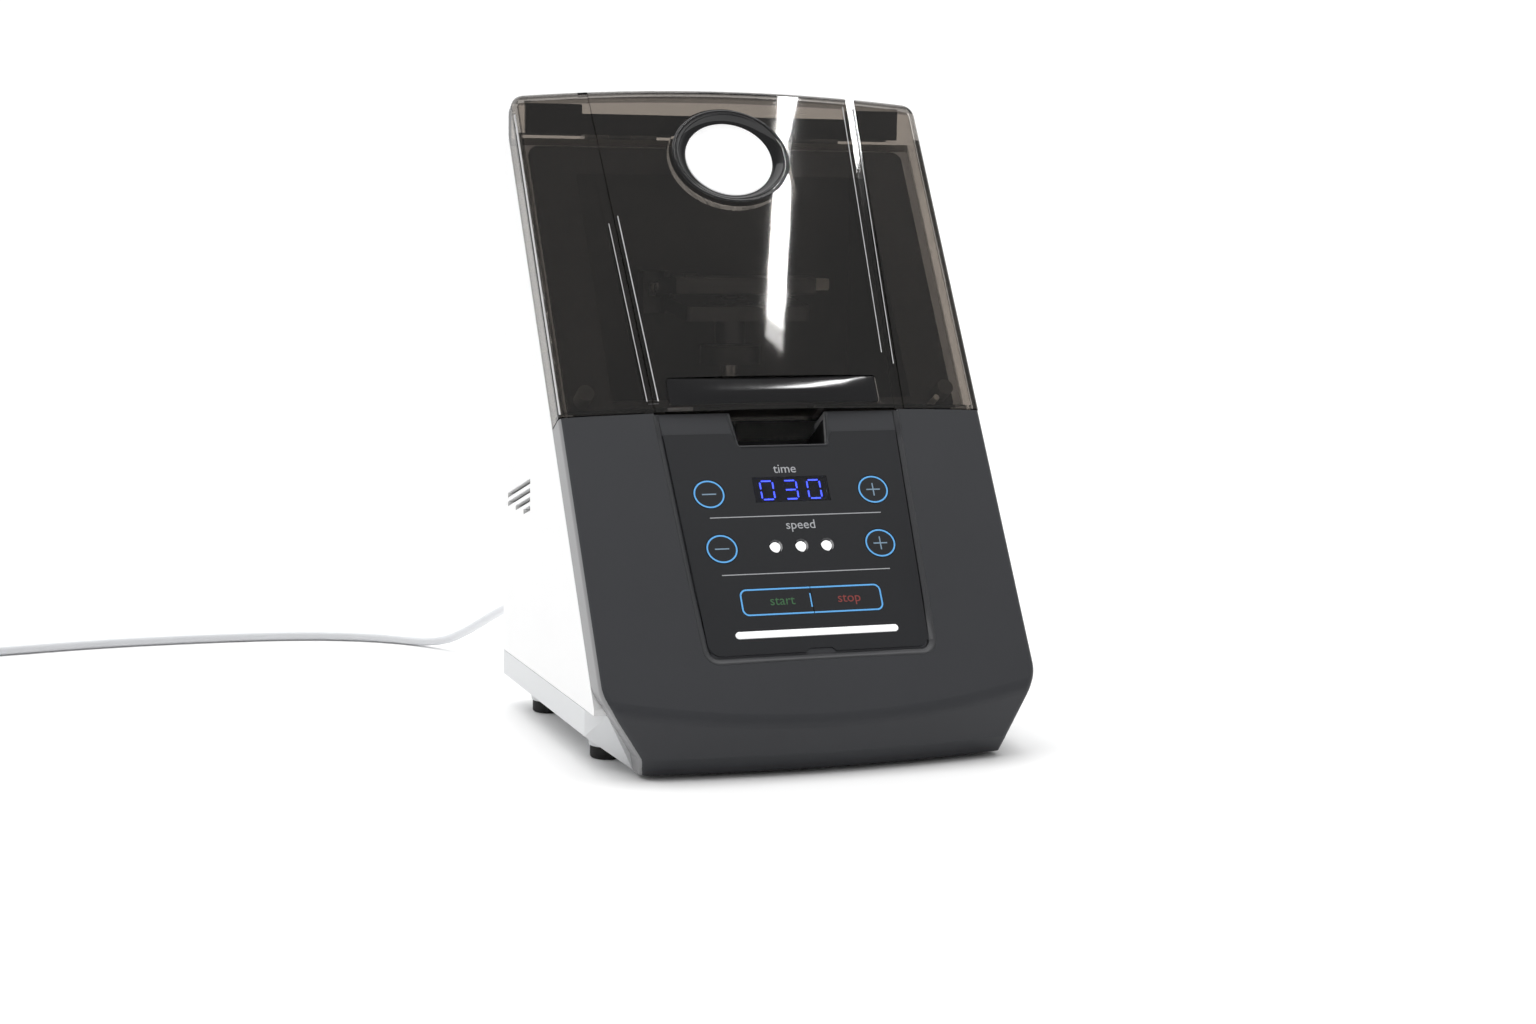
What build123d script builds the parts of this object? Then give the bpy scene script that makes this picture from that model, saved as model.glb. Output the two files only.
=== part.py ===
# Tissue homogenizer: a bench-top bead beater. A sloped face carries a smoked lid over the tube
# chamber, with a keypad below it, and a motor under the chamber wobbles the tube carrier.
# Millimetres. The origin is on the floor under the middle of the body, +Z up, the front at -Y.
# On the sloped face, u runs to the right, v up the slope from the lid seam and w outwards.

import os
from math import cos, pi, radians, sin, sqrt, tan

from build123d import *

os.makedirs("parts", exist_ok=True)

# Overall sizes
body_width = 210.0
body_depth = 190.0
lean = 31.5
seam_y = -11.0
seam_z = 153.0
face_bulge = 4.5
rim_depth = 13.0
wall = 3.0
fit_gap = 0.3

# Chin under the face
chin_clear = 2.0
chin_sweep = 11.0
chin_top = 37.0
chin_knee = 10.0
chin_half_knee = 88.5
chin_bend = 14.0
chin_half = 87.0
fold_radius = 12.0
edge_radius = 3.0
chin_lip_height = 8.0
chin_lip_depth = 5.0

# Base tray and rear housing
tray_bottom = 15.0
tray_height = 12.0
tray_wall = 2.5
keel_y = -71.0
keel_length = 15.0
housing_top = 279.0
rear_radius = 6.0

# Lid
lid_rise = 172.0
lid_arch = 3.0
lid_corner = 6.5
lid_wall = 3.0
lid_back_y = 82.2
lid_seam = 0.3

SIN = sin(radians(lean))
COS = cos(radians(lean))
half_width = body_width / 2
front_y = -body_depth / 2
rear_y = body_depth / 2
tray_top = tray_bottom + tray_height
housing_bottom = tray_top + fit_gap
frame_w = -rim_depth - fit_gap

face = Plane(origin=(0, seam_y, seam_z), x_dir=(1, 0, 0), z_dir=(0, -COS, SIN))
slope = Plane(origin=(0, seam_y, seam_z), x_dir=(1, 0, 0), z_dir=(0, -SIN, -COS))


def face_y(z, w):
    """The y of the sloped face, moved outwards by w, at height z."""
    return seam_y + (z - seam_z - w * SIN) / COS * SIN - w * COS


def slope_y(v, w):
    """The y of the point v up the slope and w outwards."""
    return seam_y + v * SIN - w * COS


def slope_z(v, w):
    """The height of the point v up the slope and w outwards."""
    return seam_z + v * COS + w * SIN


def surface_w(u):
    """How far the bulging face stands out at u."""
    return face_bulge * (1 - (u / half_width) ** 2)


def save(name, block):
    """Labels a finished piece and writes its file."""
    block.part.label = name
    export_step(block.part, "parts/" + name + ".step")


def outline(*points):
    """A flat shape with straight sides."""
    with BuildSketch() as shape:
        with BuildLine():
            Polyline(*points, close=True)
        make_face()
    return shape.sketch


def trapezoid(top_half, bottom_half, top, bottom):
    """A flat shape with level ends, wider or narrower at the bottom."""
    return outline((-top_half, top), (top_half, top), (bottom_half, bottom), (-bottom_half, bottom))


def arc_slab(half, inset, depth):
    """The face's cross section: bulging outside, flat inside."""
    bend = (half_width ** 2 + face_bulge ** 2) / (2 * face_bulge)
    edge = face_bulge - bend + sqrt(bend ** 2 - half ** 2) - inset
    with BuildSketch() as shape:
        with BuildLine():
            ThreePointArc((-half, edge), (0, face_bulge - inset), (half, edge))
            Polyline((half, edge), (half, -depth), (-half, -depth), (-half, edge))
        make_face()
    return shape.sketch


def chin_outline(inset):
    """The front's outline, drawn in at the chin."""
    half = half_width - inset
    knee = chin_half_knee - inset
    low = chin_half - inset
    with BuildSketch() as shape:
        add(outline((-half, seam_z * 2), (-half, chin_top), (-knee, chin_knee), (-low, chin_clear), (-low, 0),
                    (low, 0), (low, chin_clear), (knee, chin_knee), (half, chin_top), (half, seam_z * 2)))
        fillet(shape.vertices().group_by(Axis.Y)[-2], radius=chin_bend)
    return shape.sketch


def front_block(inset, skin):
    """The solid front: the bulging face, sunk by skin, cut by the chin's curved front and outline."""
    half = half_width - inset
    corner_y = front_y + chin_sweep + inset
    with BuildPart() as block:
        with BuildSketch(slope.offset(fit_gap + inset)):
            add(arc_slab(half + wall, skin, body_depth / 2))
        extrude(amount=seam_z * 1.5)
        with BuildSketch(Plane.XY.offset(chin_clear + 2 * inset)):
            with BuildLine():
                ThreePointArc((-half, corner_y), (0, front_y + inset), (half, corner_y))
                Polyline((half, corner_y), (half, rear_y), (-half, rear_y), (-half, corner_y))
            make_face()
        extrude(amount=seam_z * 2, mode=Mode.INTERSECT)
        with BuildSketch(Plane.XZ):
            add(chin_outline(inset))
        extrude(amount=body_depth, both=True, mode=Mode.INTERSECT)
    return block.part


# Front cover: a shell with the face, the chin and side flanges
face_skin = 5.0
recess_w = 1.8
recess_half_top = 61.0
recess_half_bottom = 55.5
recess_bottom = -124.0
recess_corner = 7.0
notch_half_top = 24.0
notch_half_bottom = 21.8
notch_drop = 17.0

# Keypad
overlay_thickness = 0.5
overlay_half_top = 57.8
overlay_half_bottom = 53.0
overlay_top = -11.0
overlay_bottom = -120.0
overlay_corner = 6.0
overlay_w = recess_w + overlay_thickness
overlay_notch_half_top = 25.3
overlay_notch_half_bottom = 21.5
overlay_notch_gap = 1.6
tab_half_top = 5.3
tab_half_bottom = 8.4
tab_height = 1.8
key_radius_u = 7.5
key_radius_v = 7.0
key_gap = 0.3
key_travel = 0.4
key_pocket = 0.6
stem_radius = 2.0
time_key_u = 40.5
time_key_v = -41.3
speed_key_u = 38.8
speed_key_v = -68.5
start_half_u = 34.4
start_top = -88.5
start_bottom = -101.7
start_corner = 3.4
display_half = 18.5
display_top = -33.5
display_bottom = -46.1
lamp_v = -68.1
lamp_pitch = 12.6
lamp_radius = 2.5
lamp_hole = 3.2
bar_half = 39.3
bar_v = -110.5
bar_thick = 3.2

# Control board behind the front cover
board_w = -6.4
board_thick = 1.6
board_half = 54.0
board_top = -26.0
board_bottom = -121.0
switch_size = 6.0
press_gap = 0.05
stem_w = board_w + 3.9
post_radius = 3.5
post_u = 47.0
post_rows = (-31.0, -84.0)

keys = {
    "time_minus_key": (-time_key_u, time_key_v),
    "time_plus_key": (time_key_u, time_key_v),
    "speed_minus_key": (-speed_key_u, speed_key_v),
    "speed_plus_key": (speed_key_u, speed_key_v),
}
start_mid_v = (start_top + start_bottom) / 2
wide_keys = {"start_key": -1, "stop_key": 1}
wide_key_length = start_half_u - key_gap / 2
wide_key_height = start_top - start_bottom
key_spots = list(keys.values()) + [(side * start_half_u / 2, start_mid_v) for side in wide_keys.values()]
display_mid_v = (display_top + display_bottom) / 2
display_height = display_top - display_bottom
lamp_spots = [(step * lamp_pitch, lamp_v) for step in (-1, 0, 1)]


def wide_key_shape(side, grow):
    """One half of the start and stop box: round corners outside, straight in the middle."""
    with BuildSketch() as shape:
        with Locations((side * (start_half_u + key_gap / 2) / 2, start_mid_v)):
            Rectangle(wide_key_length - key_gap / 2 + 2 * grow, wide_key_height + 2 * grow)
        outside = shape.vertices().sort_by(Axis.X)[0:2] if side < 0 else shape.vertices().sort_by(Axis.X)[-2:]
        fillet(outside, radius=start_corner + grow)
    return shape.sketch


with BuildPart() as front_cover:
    add(front_block(0, 0))
    lip = front_cover.edges().filter_by(lambda e: abs(e.center().X) < 1 and e.center().Y < front_y + 5
                                        and e.center().Z < chin_clear + 0.1)
    chamfer(lip, length=chin_lip_height, length2=chin_lip_depth)
    fold = front_cover.edges().filter_by(lambda e: abs(e.center().X) < 1 and e.center().Y < front_y + 5
                                         and chin_knee + 1 < e.center().Z < chin_top + 5)
    fillet(fold, radius=fold_radius)
    sides = front_cover.edges().filter_by(lambda e: abs(e.center().X) > chin_half - 1 and e.center().Y < keel_y
                                          and e.geom_type != GeomType.LINE)
    corners = front_cover.edges().filter_by(lambda e: abs(e.center().X) > half_width - 1
                                            and e.length > seam_z / 2 and e.center().Y < 0
                                            and e.center().Z > chin_top + 20)
    fillet(sides + corners, radius=edge_radius)
    add(front_block(wall, face_skin), mode=Mode.SUBTRACT)
    flange_z = seam_z + (keel_y - seam_y - rim_depth * COS) / SIN * COS - rim_depth * SIN
    with BuildSketch(Plane.YZ):
        add(outline((keel_y, 0), (keel_y, flange_z), (face_y(seam_z + 20, -rim_depth), seam_z + 20),
                    (rear_y, seam_z + 20), (rear_y, 0)))
    extrude(amount=body_width, both=True, mode=Mode.SUBTRACT)
    with BuildSketch(face.offset(recess_w)) as recess:
        add(trapezoid(recess_half_top, recess_half_bottom, 5, recess_bottom))
        fillet(recess.vertices().sort_by(Axis.Y)[0:2], radius=recess_corner)
    extrude(amount=rim_depth, mode=Mode.SUBTRACT)
    with BuildSketch(face.offset(-2 * rim_depth)):
        add(trapezoid(notch_half_top, notch_half_bottom, 2, -notch_drop))
    extrude(amount=4 * rim_depth, mode=Mode.SUBTRACT)
    with BuildSketch(face.offset(recess_w - key_pocket)):
        with Locations(*keys.values()):
            Ellipse(key_radius_u + key_gap, key_radius_v + key_gap)
        for side in wide_keys.values():
            add(wide_key_shape(side, key_gap / 2))
    extrude(amount=rim_depth, mode=Mode.SUBTRACT)
    with BuildSketch(face.offset(-rim_depth)):
        with Locations(*key_spots):
            Circle(stem_radius + fit_gap)
        with Locations((0, display_mid_v)):
            Rectangle(2 * display_half, display_height)
        with Locations(*lamp_spots):
            Circle(lamp_hole)
        with Locations((0, bar_v)):
            SlotOverall(2 * bar_half + 2 * fit_gap, bar_thick + 2 * fit_gap)
    extrude(amount=2 * rim_depth, mode=Mode.SUBTRACT)
    with BuildSketch(face.offset(board_w)):
        with Locations(*[(side * post_u, row) for side in (-1, 1) for row in post_rows]):
            Circle(post_radius)
    extrude(amount=face_bulge - face_skin - board_w)
save("front_cover", front_cover)

cup_wall = 2.0
cup_depth = 24.0
cup_top = -wall - 2 * fit_gap
with BuildPart() as finger_cup:
    with BuildSketch(face.offset(-cup_depth)):
        add(trapezoid(notch_half_top + cup_wall, notch_half_bottom + cup_wall, cup_top,
                      -notch_drop - cup_wall))
    extrude(amount=cup_depth - face_skin + surface_w(notch_half_top) - fit_gap)
    with BuildSketch(face.offset(cup_wall - cup_depth)):
        add(trapezoid(notch_half_top, notch_half_bottom, 0, -notch_drop))
    extrude(amount=2 * cup_depth, mode=Mode.SUBTRACT)
save("finger_cup", finger_cup)

# Keypad overlay: a film with a cut-out round the finger notch and holes for the keys
with BuildPart() as keypad_overlay:
    with BuildSketch(face.offset(recess_w)) as film:
        add(trapezoid(overlay_half_top, overlay_half_bottom, overlay_top, overlay_bottom))
        fillet(film.vertices().sort_by(Axis.Y)[0:2], radius=overlay_corner)
        add(trapezoid(overlay_notch_half_top, overlay_notch_half_bottom, overlay_top + 1,
                      -notch_drop - overlay_notch_gap), mode=Mode.SUBTRACT)
        add(trapezoid(tab_half_top, tab_half_bottom, overlay_bottom + tab_height, overlay_bottom - 1),
            mode=Mode.SUBTRACT)
        with Locations(*keys.values()):
            Ellipse(key_radius_u + key_gap, key_radius_v + key_gap, mode=Mode.SUBTRACT)
        for side in wide_keys.values():
            add(wide_key_shape(side, key_gap / 2), mode=Mode.SUBTRACT)
        with Locations((0, display_mid_v)):
            Rectangle(2 * display_half, display_height, mode=Mode.SUBTRACT)
        with Locations(*lamp_spots):
            Circle(lamp_hole, mode=Mode.SUBTRACT)
        with Locations((0, bar_v)):
            SlotOverall(2 * bar_half + 2 * fit_gap, bar_thick + 2 * fit_gap, mode=Mode.SUBTRACT)
    extrude(amount=overlay_thickness)
save("keypad_overlay", keypad_overlay)

cap_w = overlay_w - overlay_thickness - 0.05
for name, (u, v) in keys.items():
    with BuildPart() as key:
        with BuildSketch(face.offset(cap_w)):
            with Locations((u, v)):
                Ellipse(key_radius_u, key_radius_v)
        extrude(amount=overlay_w - cap_w)
        with BuildSketch(face.offset(stem_w)):
            with Locations((u, v)):
                Circle(stem_radius)
        extrude(amount=cap_w - stem_w)
    save(name, key)

for name, side in wide_keys.items():
    with BuildPart() as key:
        with BuildSketch(face.offset(cap_w)):
            add(wide_key_shape(side, 0))
        extrude(amount=overlay_w - cap_w)
        with BuildSketch(face.offset(stem_w)):
            with Locations((side * start_half_u / 2, start_mid_v)):
                Circle(stem_radius)
        extrude(amount=cap_w - stem_w)
    save(name, key)

# Display: a module on the board, its lit segments and a smoked window in the overlay
window_thick = 1.2
segment_thick = 0.15
module_w = overlay_w - window_thick - 0.05 - segment_thick
with BuildPart() as display_window:
    with BuildSketch(face.offset(overlay_w - window_thick)):
        with Locations((0, display_mid_v)):
            Rectangle(2 * display_half - fit_gap, display_height - fit_gap)
    extrude(amount=window_thick)
save("display_window", display_window)

with BuildPart() as display_module:
    with BuildSketch(face.offset(board_w)):
        with Locations((0, display_mid_v)):
            Rectangle(2 * display_half - 2 * fit_gap, display_height - 2 * fit_gap)
    extrude(amount=module_w - board_w)
save("display_module", display_module)

digit_pitch = 11.6
digit_half_width = 3.1
digit_half_height = 4.6
segment_width = 0.9
segment_spots = {
    "a": (0, digit_half_height, 0), "g": (0, 0, 0), "d": (0, -digit_half_height, 0),
    "f": (-digit_half_width, digit_half_height / 2, 90), "b": (digit_half_width, digit_half_height / 2, 90),
    "e": (-digit_half_width, -digit_half_height / 2, 90), "c": (digit_half_width, -digit_half_height / 2, 90),
}
shown_digits = ("abcdef", "abcdg", "abcdef")
with BuildPart() as display_segments:
    with BuildSketch(face.offset(module_w)):
        for step, segments in enumerate(shown_digits):
            for letter in segments:
                u, v, turn = segment_spots[letter]
                reach = digit_half_height if turn else 2 * digit_half_width
                with Locations(Location(((step - 1) * digit_pitch + u, display_mid_v + v, 0), turn)):
                    RegularPolygon(radius=segment_width / 2, side_count=4)
                    Rectangle(reach - 1.4, segment_width / 1.5)
    extrude(amount=segment_thick)
save("display_segments", display_segments)

with BuildPart() as speed_lamps:
    with BuildSketch(face.offset(board_w)):
        with Locations(*lamp_spots):
            Circle(lamp_radius)
    extrude(amount=recess_w - board_w)
    fillet(speed_lamps.faces().sort_by(Axis((0, 0, 0), (0, -COS, SIN)))[-3:].edges(), radius=1.2)
save("speed_lamps", speed_lamps)

with BuildPart() as light_bar:
    with BuildSketch(face.offset(board_w)):
        with Locations((0, bar_v)):
            SlotOverall(2 * bar_half, bar_thick)
    extrude(amount=overlay_w - board_w)
save("light_bar", light_bar)

with BuildPart() as control_board:
    with BuildSketch(face.offset(board_w - board_thick)):
        with Locations((0, (board_top + board_bottom) / 2)):
            RectangleRounded(2 * board_half, board_top - board_bottom, 3)
        with Locations(*[(side * post_u, row) for side in (-1, 1) for row in post_rows]):
            Circle(1.7, mode=Mode.SUBTRACT)
    extrude(amount=board_thick)
    with BuildSketch(face.offset(board_w)):
        with Locations(*key_spots):
            Rectangle(switch_size, switch_size)
    extrude(amount=stem_w - key_travel - press_gap - board_w)
    with BuildSketch(face.offset(board_w - board_thick - 5)):
        with Locations((0, -60)):
            Rectangle(16, 16)
        with Locations((-30, -108), (30, -108)):
            Rectangle(22, 8)
    extrude(amount=5)
save("control_board", control_board)

with BuildPart() as board_screws:
    with BuildSketch(face.offset(board_w - board_thick - 1.8)):
        with Locations(*[(side * post_u, row) for side in (-1, 1) for row in post_rows]):
            Circle(2.8)
    extrude(amount=1.8)
    fillet(board_screws.faces().sort_by(Axis((0, 0, 0), (0, -COS, SIN)))[0:4].edges(), radius=0.8)

# Rear housing: a white wedge, open below and framed in front for the chamber
chamber_half = 75.0
chamber_open_half = 90.0
chamber_open_top = 148.0
crossbar_bottom = 4.6
crossbar_top = 10.0
lower_open_half = 97.0
plunger_u = 84.0
plunger_v = 7.3
plunger_radius = 1.5
tub_wall = 2.5
tub_floor = 150.0
vent_count = 4
vent_front_y = 39.5
vent_top_z = 119.0
vent_pitch = 4.3
vent_slope = 0.29
vent_length = 42.0
vent_floor_z = 102.5
vent_width = 2.4
fan_x = 58.0
fan_z = 76.0
fan_size = 60.0
fan_depth = 15.0
fan_bore = 27.5
fan_screw_pitch = 25.0
grille_pitch = 6.0
grille_slot = 3.2
fan_corners = [(i * fan_screw_pitch, k * fan_screw_pitch) for i in (-1, 1) for k in (-1, 1)]
fan_screw_spots = [(fan_x + x, fan_z + z) for x, z in fan_corners]
inlet_x = -82.0
switch_z = 72.0
switch_half_x = 8.5
switch_half_z = 11.5
cord_z = 40.0
gland_radius = 5.0
housing_boss_radius = 4.5
housing_boss_height = 18.0
base_screw_x = half_width - 13.0
base_screw_spots = [(side * base_screw_x, y) for side in (-1, 1) for y in (-50.0, rear_y - 11.0)]
base_screw_radius = 1.5


def side_wedge(rear, top, w, bottom):
    """The housing's side outline: upright back, flat top and sloped front."""
    return outline((rear, bottom), (rear, top), (face_y(top, w), top), (face_y(bottom, w), bottom))


with BuildPart() as rear_housing:
    with BuildSketch(Plane.YZ):
        add(side_wedge(rear_y, housing_top, frame_w, housing_bottom))
    extrude(amount=half_width, both=True)
    back_corners = rear_housing.edges().filter_by(Axis.Z).sort_by(Axis.Y)[-2:]
    fillet(back_corners, radius=rear_radius)
    with BuildSketch(Plane.YZ):
        add(side_wedge(rear_y - wall, housing_top - wall, frame_w - wall, housing_bottom - 1))
    extrude(amount=half_width - wall, both=True, mode=Mode.SUBTRACT)
    with BuildSketch(face.offset(frame_w + 1)):
        with Locations((0, (chamber_open_top + crossbar_top) / 2)):
            RectangleRounded(2 * chamber_open_half, chamber_open_top - crossbar_top, 5)
        add(outline((-lower_open_half, crossbar_bottom), (lower_open_half, crossbar_bottom),
                    (lower_open_half, -seam_z), (-lower_open_half, -seam_z)))
        with Locations((plunger_u, plunger_v)):
            Circle(plunger_radius + fit_gap)
    extrude(amount=-wall - 2, mode=Mode.SUBTRACT)
    with Locations((0, keel_y + fit_gap, 0)):
        Box(2 * body_width, body_depth, housing_top, align=(Align.CENTER, Align.MAX, Align.CENTER),
            mode=Mode.SUBTRACT)
    with BuildSketch(Plane.YZ.offset(-half_width - 1)):
        for step in range(vent_count):
            front_z = vent_top_z - step * vent_pitch
            reach = min(vent_length, (front_z - vent_floor_z) / vent_slope)
            with BuildLine():
                Polyline((vent_front_y, front_z), (vent_front_y + reach, front_z - vent_slope * reach),
                         (vent_front_y + reach, front_z - vent_slope * reach - vent_width),
                         (vent_front_y, front_z - vent_width), close=True)
            make_face()
    extrude(amount=body_width + 2, mode=Mode.SUBTRACT)
    with BuildSketch(Plane.XZ.offset(-rear_y - 1)):
        for step in range(-4, 5):
            reach = sqrt(fan_bore ** 2 - (step * grille_pitch) ** 2)
            with Locations((fan_x, fan_z + step * grille_pitch)):
                SlotOverall(2 * reach, grille_slot)
        with Locations((inlet_x, switch_z)):
            Rectangle(2 * switch_half_x, 2 * switch_half_z)
        with Locations((inlet_x, cord_z)):
            Circle(gland_radius)
        with Locations(*fan_screw_spots):
            Circle(2.1)
    extrude(amount=wall + 1, mode=Mode.SUBTRACT)
    with BuildSketch(Plane.XZ.offset(-rear_y)):
        with Locations(*fan_screw_spots):
            Circle(3.0)
    extrude(amount=1.6, mode=Mode.SUBTRACT)
    with BuildSketch(Plane.XY.offset(housing_bottom)):
        for x, y in base_screw_spots:
            with Locations((x, y)):
                Circle(housing_boss_radius)
            with Locations((x + (4.0 if x > 0 else -4.0) * 1.25, y)):
                Rectangle(10.0, 3.0)
        with Locations(*base_screw_spots):
            Circle(base_screw_radius, mode=Mode.SUBTRACT)
    extrude(amount=housing_boss_height)
    with BuildSketch(Plane.XY.offset(housing_bottom)):
        with Locations(*base_screw_spots):
            Circle(base_screw_radius)
    extrude(amount=housing_boss_height - 2, mode=Mode.SUBTRACT)
save("rear_housing", rear_housing)

# Base tray: a shallow pan with a keel in front that closes the chin from behind
foot_u = 88.0
foot_rows = (-35.0, 66.0)
foot_top_radius = 10.0
foot_boss_radius = 8.5
foot_radius = 8.0
foot_height = 6.0
foot_spots = [(side * foot_u, y) for side in (-1, 1) for y in foot_rows]
tray_floor = tray_bottom + tray_wall
keel_back = keel_y + keel_length


def half_at(z):
    """Half the chin's width at height z."""
    return chin_half_knee + (half_width - chin_half_knee) * (z - chin_knee) / (chin_top - chin_knee)

driver_x = half_width - 29.0
power_x = -driver_x
board_half_x = 22.0
boards_front = -30.0
boards_back = 66.0
boards_bottom = 22.0
pcb_thick = 1.6
pcb_posts = [(x + i * 18.0, y) for x in (power_x, driver_x) for i in (-1, 1) for y in (-24.0, 40.0)]


def keel_block(inset, top):
    """The keel, drawn in by inset: it widens and rises from the chin back to the pan."""
    near = keel_y + inset
    low = chin_half - inset
    high = half_at(tray_top) - inset
    wide = half_width - inset
    sides = []
    for side in (-1, 1):
        sides.append([(side * low, near, chin_clear + inset), (side * high, near, top),
                      (side * wide, keel_back, top), (side * wide, keel_back, tray_bottom + inset)])
    left, right = sides
    loops = [(left[i], right[i], right[k], left[k]) for i, k in ((0, 1), (3, 2), (1, 2), (0, 3))]
    for corners in sides:
        loops.append((corners[0], corners[1], corners[3]))
        loops.append((corners[1], corners[2], corners[3]))
    return Solid(Shell([Face(Wire.make_polygon(loop, close=True)) for loop in loops]))


with BuildPart() as base_tray:
    with BuildSketch(Plane.XY.offset(tray_bottom)) as pan:
        with Locations((0, (keel_back + rear_y) / 2)):
            Rectangle(body_width, rear_y - keel_back)
        fillet(pan.vertices().sort_by(Axis.Y)[-2:], radius=rear_radius)
    extrude(amount=tray_height)
    add(keel_block(0, tray_top))
    with BuildSketch(Plane.XY.offset(tray_floor)):
        with Locations((0, (keel_back + rear_y - tray_wall) / 2)):
            Rectangle(body_width - 2 * tray_wall, rear_y - tray_wall - keel_back)
    extrude(amount=tray_height, mode=Mode.SUBTRACT)
    add(keel_block(tray_wall, tray_top + 1), mode=Mode.SUBTRACT)
    for x, y in foot_spots:
        with Locations((x, y, (tray_bottom + foot_height) / 2)):
            Cone(foot_boss_radius, foot_top_radius, tray_bottom - foot_height)
    with BuildSketch(Plane.XY.offset(tray_floor)):
        with Locations(*base_screw_spots):
            Circle(housing_boss_radius)
    extrude(amount=tray_top - tray_floor)
    with BuildSketch(Plane.XY.offset(tray_floor)):
        with Locations(*pcb_posts):
            Circle(3.5)
    extrude(amount=boards_bottom - tray_floor)
    with BuildSketch(Plane.XY):
        with Locations(*base_screw_spots):
            Circle(base_screw_radius + fit_gap)
        with Locations(*foot_spots):
            Circle(base_screw_radius)
    extrude(amount=tray_top, mode=Mode.SUBTRACT)
save("base_tray", base_tray)

screw_head_radius = 3.0
screw_head_height = 2.0
foot_recess = 3.0
screw_rows = {
    tray_bottom: (base_screw_spots, housing_bottom + housing_boss_height - 3),
    foot_recess: (foot_spots, tray_floor),
}
with BuildPart() as rubber_feet:
    for x, y in foot_spots:
        with Locations((x, y, foot_height / 2)):
            Cylinder(foot_radius, foot_height)
    fillet(rubber_feet.edges().group_by(Axis.Z)[0], radius=1.0)
    with BuildSketch(Plane.XY):
        with Locations(*foot_spots):
            Circle(screw_head_radius + fit_gap)
    extrude(amount=foot_recess, mode=Mode.SUBTRACT)
    with BuildSketch(Plane.XY):
        with Locations(*foot_spots):
            Circle(base_screw_radius)
    extrude(amount=foot_height, mode=Mode.SUBTRACT)
save("rubber_feet", rubber_feet)

# Lid: a smoked shell, hinged at the top of the housing
groove_top_u = 70.0
groove_bottom_u = 62.0
groove_width = 5.0
groove_depth = 0.8
plate_half = 52.4
plate_top = 17.7
plate_bottom = 3.6
plate_depth = 2.3
plate_thick = 0.8
well_v = 137.5
well_half_u = 28.0
well_half_v = 24.5
well_floor_w = 0.0
well_floor_thick = 2.5
badge_half_u = 22.2
badge_half_v = 20.0
badge_thick = 1.0
lid_foot = 3.0
lid_foot_depth = 8.0


def lid_outline(inset):
    """The lid seen square on: straight sides, round top corners and an arched top edge."""
    half = half_width - inset
    high = lid_rise - inset
    low = lid_seam + inset
    with BuildSketch() as shape:
        with BuildLine():
            ThreePointArc((-half, high), (0, high + lid_arch), (half, high))
            Polyline((half, high), (half, low), (-half, low), (-half, high))
        make_face()
        fillet(shape.vertices().sort_by(Axis.Y)[-2:], radius=max(lid_corner - inset, 1.0))
    return shape.sketch


def lid_block(inset):
    """The solid lid: the bulging face cut by the lid's outline and by its upright back."""
    with BuildPart() as block:
        with BuildSketch(face.offset(-rim_depth - inset)):
            add(lid_outline(inset))
        extrude(amount=rim_depth + inset + 2 * face_bulge)
        with BuildSketch(slope.offset(-lid_rise - 2 * lid_arch)):
            add(arc_slab(half_width + wall, inset, 3 * rim_depth))
        extrude(amount=lid_rise + 2 * lid_arch, mode=Mode.INTERSECT)
        with BuildSketch(Plane.YZ):
            add(outline((lid_back_y - inset, 0), (lid_back_y - inset, 2 * seam_z), (2 * rear_y, 2 * seam_z),
                        (2 * rear_y, 0)))
        extrude(amount=body_width, both=True, mode=Mode.SUBTRACT)
    return block.part


def groove(side):
    """A straight groove that runs down the lid and closes in towards the bottom."""
    half = groove_width / 2
    top = lid_rise + 2 * lid_arch
    return outline((side * groove_top_u - half, top), (side * groove_top_u + half, top),
                   (side * groove_bottom_u + half, 0), (side * groove_bottom_u - half, 0))


with BuildPart() as lid_shell:
    add(lid_block(0))
    lid_face = lid_shell.faces().filter_by(lambda side: side.normal_at().dot(face.z_dir) > 0.9)[0]
    fillet(lid_face.edges().sort_by(Axis.Z)[1:], radius=2.0)
    add(lid_block(lid_wall), mode=Mode.SUBTRACT)
    with BuildSketch(face.offset(-2 * rim_depth)):
        with Locations((0, lid_seam + lid_foot / 2)):
            Rectangle(2 * (half_width - lid_wall), lid_foot + 1)
    extrude(amount=2 * rim_depth - lid_foot_depth, mode=Mode.SUBTRACT)
    with BuildSketch(face.offset(well_floor_w - well_floor_thick)):
        with Locations((0, well_v)):
            Ellipse(well_half_u + lid_wall, well_half_v + lid_wall)
    extrude(amount=face_bulge - lid_wall / 2 - well_floor_w + well_floor_thick)
    with BuildSketch(face.offset(well_floor_w)):
        with Locations((0, well_v)):
            Ellipse(well_half_u, well_half_v)
    extrude(amount=2 * face_bulge, mode=Mode.SUBTRACT)
    with BuildSketch(face.offset(plate_depth)):
        with Locations((0, (plate_top + plate_bottom) / 2)):
            RectangleRounded(2 * plate_half, plate_top - plate_bottom, 1.5)
    extrude(amount=2 * face_bulge, mode=Mode.SUBTRACT)
    with BuildSketch(face.offset(surface_w((groove_top_u + groove_bottom_u) / 2) - groove_depth)):
        for side in (-1, 1):
            add(groove(side))
    extrude(amount=2 * face_bulge, mode=Mode.SUBTRACT)
save("lid_shell", lid_shell)

with BuildPart() as lid_badge:
    with BuildSketch(face.offset(well_floor_w)):
        with Locations((0, well_v)):
            Ellipse(badge_half_u, badge_half_v)
    extrude(amount=badge_thick)
save("lid_badge", lid_badge)

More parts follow.
